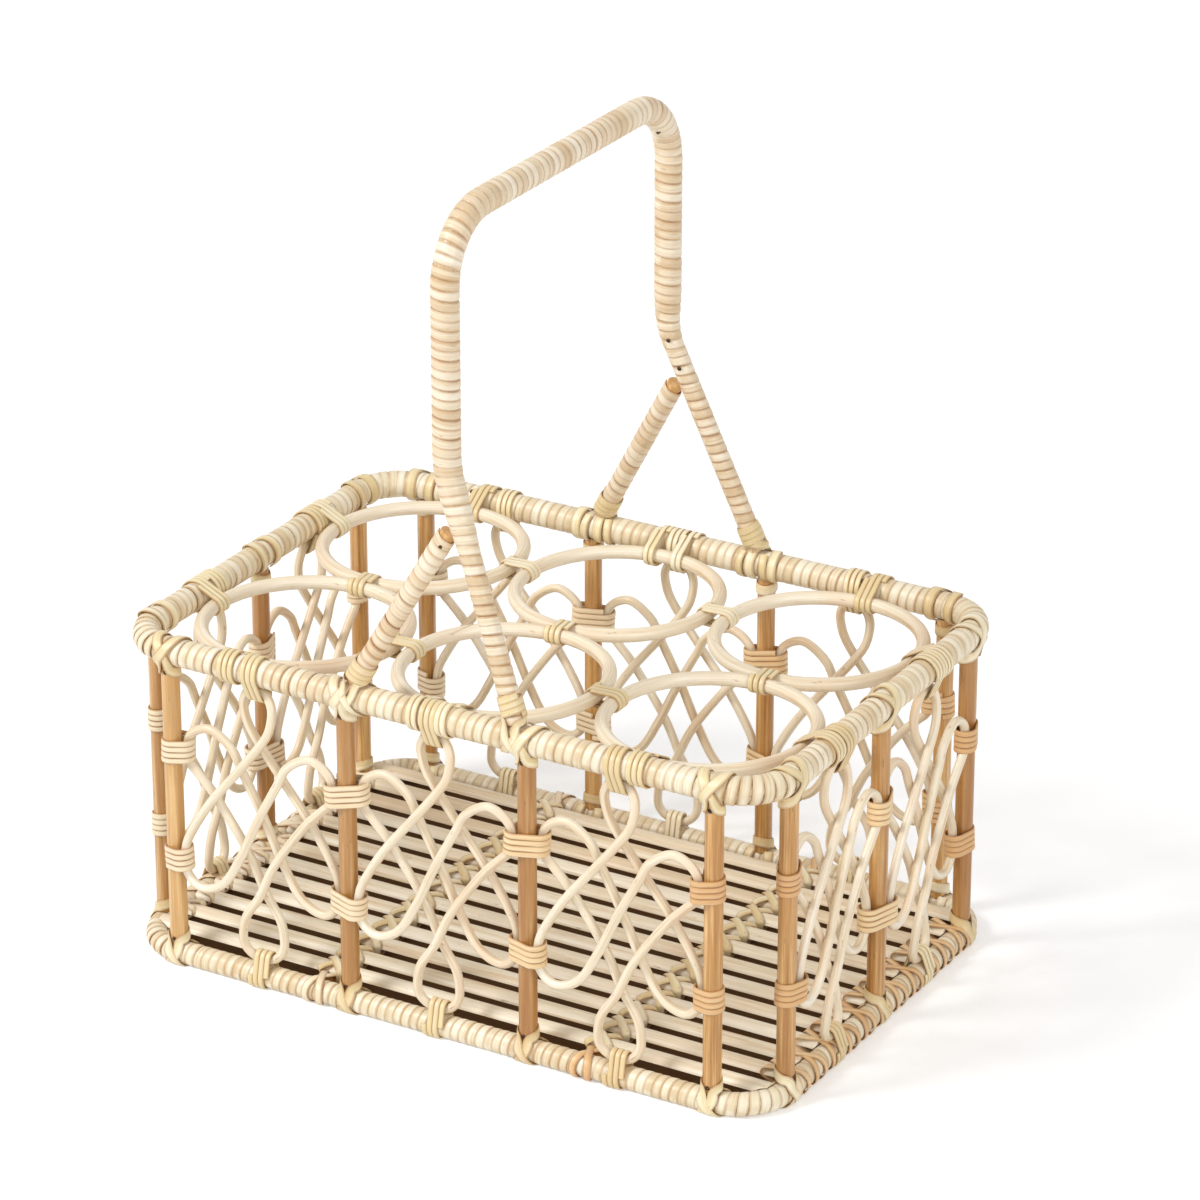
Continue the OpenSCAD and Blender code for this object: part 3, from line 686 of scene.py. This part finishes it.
def scroll_strands():
    """The interlaced strands, each one closed cane."""
    mirrored_half = [(-x, z, -layer) for x, z, layer in reversed(HALF_STRAND_SHARES[1:])]
    shares = [*HALF_STRAND_SHARES, (0, -1, 0), *mirrored_half]
    half_h = (CROWN_Z - BOTTOM_Z) / 2
    for wall in WALLS:
        posts = post_places(wall)
        for bay, (name, middle) in enumerate(zip(STRAND_NAMES[wall], bay_places(wall))):
            half_w = (posts[bay + 1] - posts[bay]) / 2 - POST_REACH
            line = [Vector((middle + x * half_w, -layer * LAYER, (CROWN_Z + BOTTOM_Z) / 2 + z * half_h))
                    for x, z, layer in shares]
            path = [wall_matrix(wall) @ smooth_point(line[i - 1], line[i], line[(i + 1) % len(line)],
                                                     line[(i + 2) % len(line)], k / STRAND_STEPS)
                    for i in range(len(line)) for k in range(STRAND_STEPS)]
            strand = grow(ROUND_CANE, "strand_" + name, curve_guide(path, closed=True), "strand",
                          Thickness=2 * STRAND_R, Step=1.1 * MM, Sides=14, Unevenness=0.07, Seed=wall + bay)
            settle(strand, "pale_cane", "scroll_" + name)


def rings():
    """Bottle rings of pale cane, with the grain round the ring and the slanting cut left open."""
    for row, side in (("front", -1), ("back", 1)):
        for column, name in ((-1, "left"), (0, "middle"), (1, "right")):
            node = f"ring_{row}_{name}"
            shape = bmesh.new()
            shape.from_mesh(NODES[node].data)
            bmesh.ops.remove_doubles(shape, verts=shape.verts, dist=0.001 * MM)
            mesh = bpy.data.meshes.new(f"bottle_{node}")
            shape.to_mesh(mesh)
            shape.free()
            grain = mesh.attributes.new("grain", "FLOAT_VECTOR", "CORNER")
            middle = Vector((column * RING_X, side * RING_Y, RING_Z))
            for face in mesh.polygons:
                face.use_smooth = True
                centre = face.center - middle
                facing = atan2(centre.y, centre.x)
                for corner in face.loop_indices:
                    place = mesh.vertices[mesh.loops[corner].vertex_index].co - middle
                    angle = atan2(place.y, place.x)
                    angle += 2 * pi * round((facing - angle) / (2 * pi))
                    grain.data[corner].vector = (angle * RING_R, place.to_2d().length - RING_R, place.z)
            mesh.set_sharp_from_angle(angle=RING_SHARP_FROM)
            mesh.materials.clear()
            mesh.materials.append(FINISHES["ring"])
            settle(link(f"bottle_{node}", mesh), "pale_cane", node)


# The handle; side is -1 at the front and 1 at the back

def foot_place(side, x=FOOT_X):
    return Vector((x, side * HALF_Y, FOOT_Z))


def leg_place(side, z):
    return Vector((0, side * LEG_Y, z))


def bend(before, corner, after, radius):
    """A round bend between two straight runs."""
    a, b = (before - corner).normalized(), (after - corner).normalized()
    half = a.angle(b) / 2
    centre = corner + (a + b).normalized() * radius / sin(half)
    start = corner + a * radius / tan(half) - centre
    end = corner + b * radius / tan(half) - centre
    sweep = pi - 2 * half
    return [centre + (start * sin((1 - t) * sweep) + end * sin(t * sweep)) / sin(sweep)
            for t in (i / BEND_STEPS for i in range(BEND_STEPS + 1))]


def bent_path(corners, radii):
    """A path from the first corner to the last, with a bend at each one between."""
    path = [corners[0]]
    for before, corner, after, radius in zip(corners, corners[1:], corners[2:], radii):
        path += bend(before, corner, after, radius)
    return [*path, corners[-1]]


def handle_path():
    """From the front foot over the grip to the back foot."""
    corners = [foot_place(-1), leg_place(-1, LEG_TURN_Z), leg_place(-1, GRIP_Z), leg_place(1, GRIP_Z),
               leg_place(1, LEG_TURN_Z), foot_place(1)]
    return bent_path(corners, (LEG_TURN_BEND, GRIP_BEND, GRIP_BEND, LEG_TURN_BEND))


def strut_top(side):
    foot, leg_turn = foot_place(side), leg_place(side, LEG_TURN_Z)
    fork = foot + (leg_turn - foot) * (FORK_Z - FOOT_Z) / (LEG_TURN_Z - FOOT_Z)
    return fork - Vector((STRUT_BESIDE, 0, 0))


def handle():
    """The long handle cane, its padding and its winding from foot to foot, and the two struts with theirs."""
    core("handle_cane", curve_guide(handle_path()), LIMB_R - STRIP_T, 18, "handle_hoop")
    arch = [leg_place(-1, PADDING_Z), leg_place(-1, GRIP_Z), leg_place(1, GRIP_Z), leg_place(1, PADDING_Z)]
    core("grip_padding", curve_guide(bent_path(arch, (GRIP_BEND, GRIP_BEND))), GRIP_R - PADDING_DEPTH, 24)
    wind("handle_winding", "handle_wrap", curve_guide(handle_path()), LIMB_R, HANDLE_PITCH, (1.0, 0.0, 0.0), 8,
         "handle_winding", High_Radius=GRIP_R, Low_Height=TAPER_LOW, High_Height=TAPER_HIGH,
         Height_Slope=TAPER_SLOPE, Strip_Thickness=HANDLE_STRIP_T)
    for side, name in ((-1, "front"), (1, "back")):
        foot, top = foot_place(side, -FOOT_X), strut_top(side)
        wound = foot + (top - foot) * STRUT_WOUND_SHARE
        core("strut_cane_" + name, curve_guide([foot, top]), LIMB_R - STRUT_SLACK - STRIP_T, 18, finish="bare_end")
        wind("strut_winding_" + name, "handle_strut_" + name, curve_guide([foot, wound]), LIMB_R, HANDLE_PITCH,
             (0.0, 1.0, 0.0), 11 + side, "handle_winding")


# Ties; a path is a list of (place, outward direction) pairs

def set_out(path, thickness):
    """Moves a path outwards, so that a strip of that thickness lies on it."""
    return [(place + outward * thickness, outward) for place, outward in path]


def raised(path, z):
    return [(place + Vector((0, 0, z)), outward) for place, outward in path]


def mirrored(path, axis):
    """The mirror image of a path along X (0) or Z (2)."""
    flip = Vector([-1 if i == axis else 1 for i in range(3)])
    return [(place * flip, outward * flip) for place, outward in path]


def belt_path(big_r, small_r, apart, turns):
    """Turns of strip round two canes side by side along Z; the big one is at the origin."""
    lean = acos((big_r - small_r) / apart)
    outline = []
    for x, radius, start, sweep in ((0, big_r, lean, 2 * pi - 2 * lean), (apart, small_r, -lean, 2 * lean)):
        for i in range(TIE_ARC_STEPS + 1):
            a = start + sweep * i / TIE_ARC_STEPS
            outline.append((Vector((x + radius * cos(a), radius * sin(a), 0)), Vector((cos(a), sin(a), 0))))
    lengths = [0.0]
    for (a, _), (b, _) in zip(outline, outline[1:] + outline[:1]):
        lengths.append(lengths[-1] + (b - a).length)
    path = []
    for turn_number in range(turns):
        for (place, outward), length in zip(outline, lengths):
            share = turn_number + length / lengths[-1]
            path.append((place + Vector((0, 0, (share - turns / 2) * TURN_W)), outward))
    path += raised(outline[:1], turns / 2 * TURN_W)
    return set_out(path, TURN_T)


def coil_path(radius, turns, start):
    """Turns round one straight cane that stands at the origin along Z."""
    path = []
    for i in range(turns * COIL_STEPS + 1):
        angle = 2 * pi * i / COIL_STEPS
        outward = Vector((cos(angle), sin(angle), 0))
        path.append((outward * radius + Vector((0, 0, start + i / COIL_STEPS * TURN_W)), outward))
    return path


def tie_group(name, node, kinds, closed=False, width=TURN_STRIP_W, thickness=TURN_T, finish="binding"):
    """Ties of several kinds in one piece; a kind is (path, places)."""
    shapes = []
    for seed, (path, places) in enumerate(kinds):
        points = place_guide(places)
        shapes.append(grow(TIE, name, strip_guide(path, closed), finish, Places=points, Strip_Width=width,
                           Strip_Thickness=thickness, Lean=0.05, Ground=GROUND, Seed=seed))
        bpy.data.objects.remove(points)
    return settle(join(name, shapes), "binding_cane", *([node] if node else []))


def post_ties():
    """Turns that tie each post to the strands beside it, a little askew, as a hand leaves them."""
    hold_r = POST_R + SEAT
    strand_end = hypot(POST_REACH, LAYER) + STRAND_R + POST_SLACK - hold_r
    for name, slope in (("upper", 1), ("lower", -1)):
        kinds = {}
        z = POST_TIE_Z[name]
        for wall in WALLS:
            posts = post_places(wall)
            for i, x in enumerate(posts):
                before = strand_end if i > 0 else 0.0
                after = strand_end if i < len(posts) - 1 else 0.0
                place = wall_matrix(wall) @ Vector((x, 0, z))
                angle = radians(wall + slope * POST_LEAN)
                place -= Vector((before * cos(angle), before * sin(angle), 0))
                askew = radians(4 * sin(z / MM + 2.3 * i + wall))
                kinds.setdefault(before + after, []).append((place, (0, askew, angle)))
        tie_group("post_ties_" + name, "post_bindings_" + name,
                  [(belt_path(hold_r, hold_r, apart, 4), places) for apart, places in kinds.items()],
                  finish="post_binding")


def tie_place(wall, x, z, tilt):
    """Place and turn of a tie whose axis lies along a wall; tilt 0 hangs below, 90 lies inside, 180 stands above."""
    return wall_matrix(wall) @ Vector((x, 0, z)), turn((wall, "Z"), (tilt, "X"), (90, "Y"))


def loop_ties():
    """Turns that tie each strand to the rim and to the base hoop."""
    for name, node, z, tilt, hoop_r in (("crown_ties", "top_loop_bindings", RIM_Z, 0, RIM_R),
                                        ("bottom_ties", "bottom_loop_bindings", BASE_Z, 180, BASE_R)):
        loop_r = STRAND_R + LOOP_SLACK
        path = belt_path(hoop_r + SEAT, loop_r, hoop_r + 2 * SEAT + STRAND_R + LOOP_SLACK, 3)
        tie_group(name, node, [(path, [tie_place(wall, x, z, tilt) for wall in WALLS for x in bay_places(wall)])])


def ring_ties():
    """Turns that tie the rings to the rim and to each other."""
    def sag(distance):
        """How far a ring has curved away at a distance beside its nearest point."""
        return RING_R - sqrt(RING_R ** 2 - distance ** 2)
    apart = RIM_R + SEAT + TURN_T + SEAT + RING_CANE_R
    tilt = 90 - degrees(asin((RIM_Z - RING_Z) / apart))
    beside = 5 * TURN_W / 2 + 2 * SEAT
    end_off = max(0.0, CORNER_Y / 2 + 3 * TURN_W + SEAT - RING_Y)

    def to_rim(turns, off, walls, x):
        play = SEAT + sag(abs(off) + turns * TURN_W / 2)
        return (belt_path(RIM_R + SEAT, RING_CANE_R + play, apart, turns),
                [tie_place(wall, s * x, RIM_Z, tilt) for wall in walls for s in (-1, 1)])
    hold_r = RING_CANE_R + SEAT + sag(3 * TURN_W / 2)
    tie_group("ring_ties", "ring_bindings", [
        to_rim(3, 0, (FRONT, BACK), RING_X),
        to_rim(2, beside, (FRONT, BACK), beside),
        to_rim(3, end_off, (LEFT, RIGHT), RING_Y + end_off),
        (belt_path(hold_r, hold_r, 2 * (RING_Y - RING_R), 3),
         [(Vector((c * RING_X, -RING_Y + RING_R, RING_Z)), turn((90, "X"), (90, "Y"))) for c in (-1, 0, 1)]),
        (belt_path(hold_r, hold_r, RING_X - 2 * RING_R, 3),
         [(Vector((c * RING_X / 2 - RING_X / 2 + RING_R, r * RING_Y, RING_Z)), turn((90, "X")))
          for c in (-1, 1) for r in (-1, 1)])])


# A crossed strap's turn over the hoop, as (angle, share of its spread), then its turn round the cane that joins
# the hoop, as (angle, way down)
OVER_HOOP = ((-150, 0.85), (-120, 0.95), (-90, 1.0), (-60, 1.0), (-30, 0.97), (0, 0.88), (25, 0.7), (50, 0.42),
             (72, 0.14), (94, -0.14), (115, -0.38))
ROUND_UPRIGHT = ((-55, 1.0 * MM), (-15, 2.2 * MM), (25, 3.2 * MM), (60, 3.8 * MM))
BEHIND_UPRIGHT = 4 * MM
CROSS_LIFTS = (0.7 * MM, 0.92 * MM)
RIM_SPREAD, BASE_SPREAD, FOOT_SPREAD = 5.2 * MM, 4.8 * MM, 5.6 * MM


def lashing(hoop_r, upright_r, spread, upward=False, lean=0.0):
    """A strap that crosses itself on the outer face of a hoop and passes behind the cane that joins it.

    The hoop runs along X with its middle at the origin; the cane leaves it downwards, or upwards with a lean."""
    run = []
    for angle, share in OVER_HOOP:
        outward = Vector((0, -sin(radians(angle)), cos(radians(angle))))
        run.append((outward * hoop_r + Vector((-share * spread, 0, 0)), outward))
    for angle, drop in ROUND_UPRIGHT:
        outward = Vector((cos(radians(angle)), sin(radians(angle)), 0))
        run.append((outward * upright_r - Vector((0, 0, hoop_r + drop)), outward))
    behind = (Vector((0, upright_r, -hoop_r - BEHIND_UPRIGHT)), Vector((0, 1, 0)))
    path = set_out([*run, behind], CROSS_LIFTS[0]) + set_out(mirrored(reversed(run), 0), CROSS_LIFTS[1])
    path = [(place + Vector((lean * max(0.0, -hoop_r - place.z), 0, 0)), outward) for place, outward in path]
    if upward:
        path = mirrored(path, 2)
    smooth, last = [], len(path) - 1
    for i in range(last):
        around = [path[min(max(i + k, 0), last)] for k in (-1, 0, 1, 2)]
        for t in (0, 1 / 3, 2 / 3):
            smooth.append([smooth_point(*four, t) for four in zip(*around)])
    return [(place, outward.normalized()) for place, outward in [*smooth, path[-1]]]


def round_the_corner(path, side):
    """Bends a path along the corner that begins at its middle, on the side given as -1 or 1."""
    bent = []
    for place, outward in path:
        if place.x * side > 0:
            turned = Matrix.Rotation(place.x / CORNER_BEND, 3, "Z")
            centre = Vector((0, CORNER_BEND, place.z))
            place = centre + turned @ Vector((0, place.y - CORNER_BEND, 0))
            outward = turned @ outward
        bent.append((place, outward))
    return bent


def post_crosses():
    """Crossed straps over the rim and the base at the head and foot of each post."""
    corners = {side: [] for side in (-1, 0, 1)}
    for wall in WALLS:
        posts = post_places(wall)
        for x in posts:
            corners[{posts[0]: -1, posts[-1]: 1}.get(x, 0)].append(wall_place(wall, x))
    head = raised(lashing(RIM_R + SEAT, POST_R + SEAT, RIM_SPREAD), RIM_Z)
    foot = raised(lashing(BASE_R + SEAT, POST_R + SEAT, BASE_SPREAD, upward=True), BASE_Z)
    kinds = [(round_the_corner(path, side), places) for side, places in corners.items() for path in (head, foot)]
    tie_group("post_crosses", None, kinds, width=STRAP_W, thickness=STRAP_T)


def foot_ties():
    """Turns round each foot of the handle, and the crossed straps that hold it to the rim."""
    coil_play, coil_start = 0.6 * MM, LIMB_R - 1 * MM
    coil_places, cross_places = [], {}
    for side, wall in ((-1, FRONT), (1, BACK)):
        for x, top in ((FOOT_X, leg_place(side, LEG_TURN_Z)), (-FOOT_X, strut_top(side))):
            foot = foot_place(side, x)
            coil_places.append((foot, (top - foot).to_track_quat("Z", "X").to_euler()))
            lean = round(-side * (top.x - foot.x) / (top.z - foot.z), 4)
            cross_places.setdefault(lean, []).append(wall_place(wall, -side * x))
    kinds = [(coil_path(LIMB_R + SEAT + coil_play, 3, coil_start), coil_places)]
    for lean, places in cross_places.items():
        path = lashing(RIM_R + SEAT, LIMB_R + SEAT, FOOT_SPREAD, upward=True, lean=lean)
        kinds.append((raised(path, RIM_Z), places))
    tie_group("foot_ties", "handle_bindings", kinds, width=0.5 * (STRAP_W + TURN_W), thickness=STRAP_T)


def hull_outline(circles, steps=16):
    """Outline drawn tight round ellipses (centre, half length, half width), as (place, outward) pairs in a plane."""
    points = [(cx + a * cos(t), cy + b * sin(t)) for cx, cy, a, b in circles
              for t in (2 * pi * i / steps for i in range(steps))]
    points = sorted(set((round(x, 7), round(y, 7)) for x, y in points))

    def chain(source):
        kept = []
        for p in source:
            while len(kept) > 1 and ((kept[-1][0] - kept[-2][0]) * (p[1] - kept[-2][1])
                                     - (kept[-1][1] - kept[-2][1]) * (p[0] - kept[-2][0])) <= 0:
                kept.pop()
            kept.append(p)
        return kept[:-1]
    outline = chain(points) + chain(reversed(points))
    pairs = []
    for i, p in enumerate(outline):
        a, b = outline[i - 1], outline[(i + 1) % len(outline)]
        pairs.append((Vector(p), Vector((b[1] - a[1], a[0] - b[0])).normalized()))
    return pairs


def slat_ties():
    """Diagonal ties of each slat to the bearers, the second over the first."""
    diagonal, rise = radians(45), SLAT_TOP - SLAT_Z
    slat_play, bearer_play = 1.2 * MM, 0.6 * MM
    outline = hull_outline([
        (0, SLAT_Z + rise * 0.4, SLAT_W / 2 / cos(diagonal) + slat_play, rise * 0.6 + SEAT),
        (0, BASE_Z, BEARER_R / cos(diagonal) + bearer_play, BEARER_R + SEAT)], 24)
    for name, x in BEARERS.items():
        places = [(Vector((x, (i - (SLAT_COUNT - 1) / 2) * SLAT_PITCH, 0)), (0, 0, 0)) for i in range(SLAT_COUNT)]
        kinds = []
        for slope, lift in ((1, 0.75 * MM), (-1, 0.95 * MM)):
            path = [[Vector((v.x * cos(diagonal), slope * v.x * sin(diagonal), v.y)) for v in pair]
                    for pair in outline]
            kinds.append((set_out(path, lift), places))
        tie_group("slat_ties_" + name, "slat_lashing_" + name, kinds, closed=True, width=SLAT_STRAP_W,
                  thickness=STRAP_T)


def end_ties():
    """Crossed ties of the slat ends to the end hoops and of the bearer ends to the long hoops."""
    hoop = (0, BASE_Z, BASE_R + SEAT, BASE_R + SEAT)
    inside, middle_x, shear = 10 * MM, 3 * MM, 0.42
    slat_end = hull_outline([hoop, (inside, (SLAT_Z + SLAT_TOP) / 2, 1.5 * MM, (SLAT_TOP - SLAT_Z) / 2 + SEAT)])
    bearer_end = hull_outline([hoop, (inside, BASE_Z, BEARER_R, BEARER_R + SEAT)])
    slat_places = [wall_place(wall, (i - (SLAT_COUNT - 1) / 2) * SLAT_PITCH)
                   for wall in (LEFT, RIGHT) for i in range(1, SLAT_COUNT - 1)]
    bearer_places = [wall_place(wall, side * x) for wall, side in ((FRONT, 1), (BACK, -1)) for x in BEARERS.values()]
    kinds = []
    for outline, places in ((slat_end, slat_places), (bearer_end, bearer_places)):
        for slant, lift in ((shear, 0.66 * MM), (-shear, 0.84 * MM)):
            path = [(Vector((slant * (p.x - middle_x), p.x, p.y)), Vector((0, n.x, n.y))) for p, n in outline]
            kinds.append((set_out(path, lift), places))
    tie_group("end_ties", None, kinds, closed=True, width=END_STRAP_W, thickness=END_STRAP_T, finish="post_binding")


def nails():
    """Nail heads at the ends of the strips: on posts and rim, and on the struts, legs and bends of the handle."""
    below_rim, shoulder, beside_tie = 2.4 * MM, 40, 5.4 * MM
    on_limb = LIMB_R - 0.2 * MM
    places = []
    for wall in WALLS:
        for x in post_places(wall):
            for z in (RIM_Z - RIM_R - below_rim, BASE_Z + BASE_R + below_rim):
                places.append((wall_matrix(wall) @ Vector((x, -POST_R, z)), turn((wall, "Z"), (90, "X"))))
    for side in (-1, 1):
        places.append((strut_top(side) + Vector((-1.5 * MM, side * on_limb, -5 * MM)), turn((90, "X"))))
    for wall in (FRONT, BACK):
        for x in (-RING_X, RING_X):
            place = Vector((x + beside_tie, RIM_R * sin(radians(shoulder)), RIM_Z + RIM_R * cos(radians(shoulder))))
            places.append((wall_matrix(wall) @ place, turn((wall, "Z"), (-shoulder, "X"))))
    leg = handle_path()
    for side in (-1, 1):
        for z in (FORK_Z + 21 * MM, FORK_Z + 9 * MM):
            near, foot = min((p for p in leg if p.y * side > 0), key=lambda p: abs(p.z - z)), foot_place(side)
            place = near + (foot - near) * max(0.0, near.z - z) / (near.z - foot.z)
            places.append((place - Vector((-1 * MM, side * on_limb, 0)), turn((90 * side, "X"))))
        bend_middle = Vector((1.5 * MM, side * (LEG_Y - GRIP_BEND), GRIP_Z - GRIP_BEND))
        reach = GRIP_BEND - GRIP_R + 0.5 * MM
        places.append((bend_middle + Vector((0, side * reach * 0.74, reach * 0.67)), turn((48 * side, "X"))))
    heads = grow(NAILS, "nail_heads", place_guide(places), "nail", Head_Width=2.0 * MM, Head_Height=0.9 * MM)
    settle(heads, "binding_cane")


def carried_nodes():
    """Gives the CAD nodes whose shape stays their finish."""
    for name, node in NODES.items():
        for start, finish in KEPT_NODES.items():
            if name.startswith(start) and not node.hide_render:
                node.data.materials.clear()
                node.data.materials.append(FINISHES[finish])


# The studio
WHITE = (1.0, 1.0, 1.0, 1.0)
FLOOR_REACH = 12.0
FLOOR_GREY = 0.88
GLOW_NEAR, GLOW_FAR = (0.4, 0.3), (3.0, 0.65)  # distance from the middle and strength
ROOM_STRENGTH = 0.55
LIGHTS = {"key_light": ((-1.1, -1.3, 1.7), 0.8, 31.0), "side_light": ((1.6, -0.9, 0.8), 1.2, 11.0)}
LIT_POINT = Vector((0, 0, 0.12))
# The photograph's camera: degrees, metres and its lens for a sensor 36 mm wide
AZIMUTH, ELEVATION, DISTANCE = 30.09, 24.11, 2.2071
AIM_RIGHT, AIM_UP, LENS, SENSOR = 15.54 * MM, 152.31 * MM, 164.64, 36


def seen_share(paint):
    """One where the backdrop is seen, straight or in something shiny, and zero where it only gives light."""
    rays = paint.node("ShaderNodeLightPath").outputs
    mirrored_rays = paint.math("MAXIMUM", rays["Is Glossy Ray"], rays["Is Transmission Ray"])
    return paint.math("MAXIMUM", rays["Is Camera Ray"], mirrored_rays)


def white_floor():
    """Floor that is white where it is seen, with a dark brown painted shadow under the carrier."""
    mesh = bpy.data.meshes.new("floor")
    corners = [(x * FLOOR_REACH, y * FLOOR_REACH, 0) for x, y in ((-1, -1), (1, -1), (1, 1), (-1, 1))]
    mesh.from_pydata(corners, [], [(0, 1, 2, 3)])
    floor = link("floor", mesh)
    material, paint = finish_nodes("white_floor")
    place = paint.vector("MULTIPLY", frame_place(paint), (1.0, 1.0, 0.0))
    far_glow = paint.share_of(paint.vector("LENGTH", place), GLOW_NEAR[0], GLOW_FAR[0], GLOW_NEAR[1], GLOW_FAR[1])
    beyond = paint.vector("SUBTRACT", paint.vector("ABSOLUTE", place), (CORNER_X, CORNER_Y, 0.0))
    beyond = paint.vector("LENGTH", paint.vector("MAXIMUM", beyond, (0.0, 0.0, 0.0)))
    open_share = paint.share_of(beyond, CORNER_BEND - 3 * MM, CORNER_BEND + 1 * MM)
    # Painted shadow: the floor is dark brown under the carrier and floor grey outside it
    tone = mixed(paint, open_share, srgb(122, 92, 64), (FLOOR_GREY, FLOOR_GREY, FLOOR_GREY, 1.0))
    cloth = paint.out("ShaderNodeBsdfDiffuse", {"Color": tone})
    glow = paint.out("ShaderNodeEmission", {"Color": WHITE, "Strength": paint.times(open_share, far_glow)})
    seen = paint.out("ShaderNodeAddShader", (cloth, glow))
    surface = paint.out("ShaderNodeMixShader", (seen_share(paint), cloth, seen))
    paint.node("ShaderNodeOutputMaterial", {"Surface": surface})
    mesh.materials.append(material)


def white_world():
    """A world that is white where it is seen, and gives less light than that."""
    world = bpy.data.worlds.new("studio")
    bpy.context.scene.world = world
    world.use_nodes = True
    world.node_tree.nodes.clear()
    paint = Builder(world.node_tree)
    room, backdrop = (paint.out("ShaderNodeBackground", {"Color": WHITE, "Strength": strength})
                      for strength in (ROOM_STRENGTH, 1.0))
    surface = paint.out("ShaderNodeMixShader", (seen_share(paint), room, backdrop))
    paint.node("ShaderNodeOutputWorld", {"Surface": surface})


def lights():
    """Soft round lights, the stronger one from the left."""
    for name, (place, size, power) in LIGHTS.items():
        data = bpy.data.lights.new(name, "AREA")
        data.shape = "DISK"
        data.size = size
        data.energy = power
        lamp = link(name, data)
        lamp.location = place
        lamp.rotation_euler = (LIT_POINT - Vector(place)).to_track_quat("-Z", "Y").to_euler()


def camera():
    """The photograph's view: its direction, distance and lens."""
    azimuth, elevation = radians(AZIMUTH), radians(ELEVATION)
    right = Vector((cos(azimuth), sin(azimuth), 0))
    back = Vector((sin(azimuth) * cos(elevation), -cos(azimuth) * cos(elevation), sin(elevation)))
    data = bpy.data.cameras.new("camera")
    data.sensor_width = SENSOR
    data.lens = LENS
    eye = link("camera", data)
    eye.location = right * AIM_RIGHT + Vector((0, 0, AIM_UP)) + back * DISTANCE
    eye.rotation_euler = (-back).to_track_quat("-Z", "Y").to_euler()
    bpy.context.scene.camera = eye


bpy.context.scene.view_settings.view_transform = "Standard"
camera()
white_floor()
white_world()
lights()
hoops()
scroll_strands()
rings()
handle()
post_ties()
loop_ties()
ring_ties()
post_crosses()
foot_ties()
slat_ties()
end_ties()
nails()
carried_nodes()
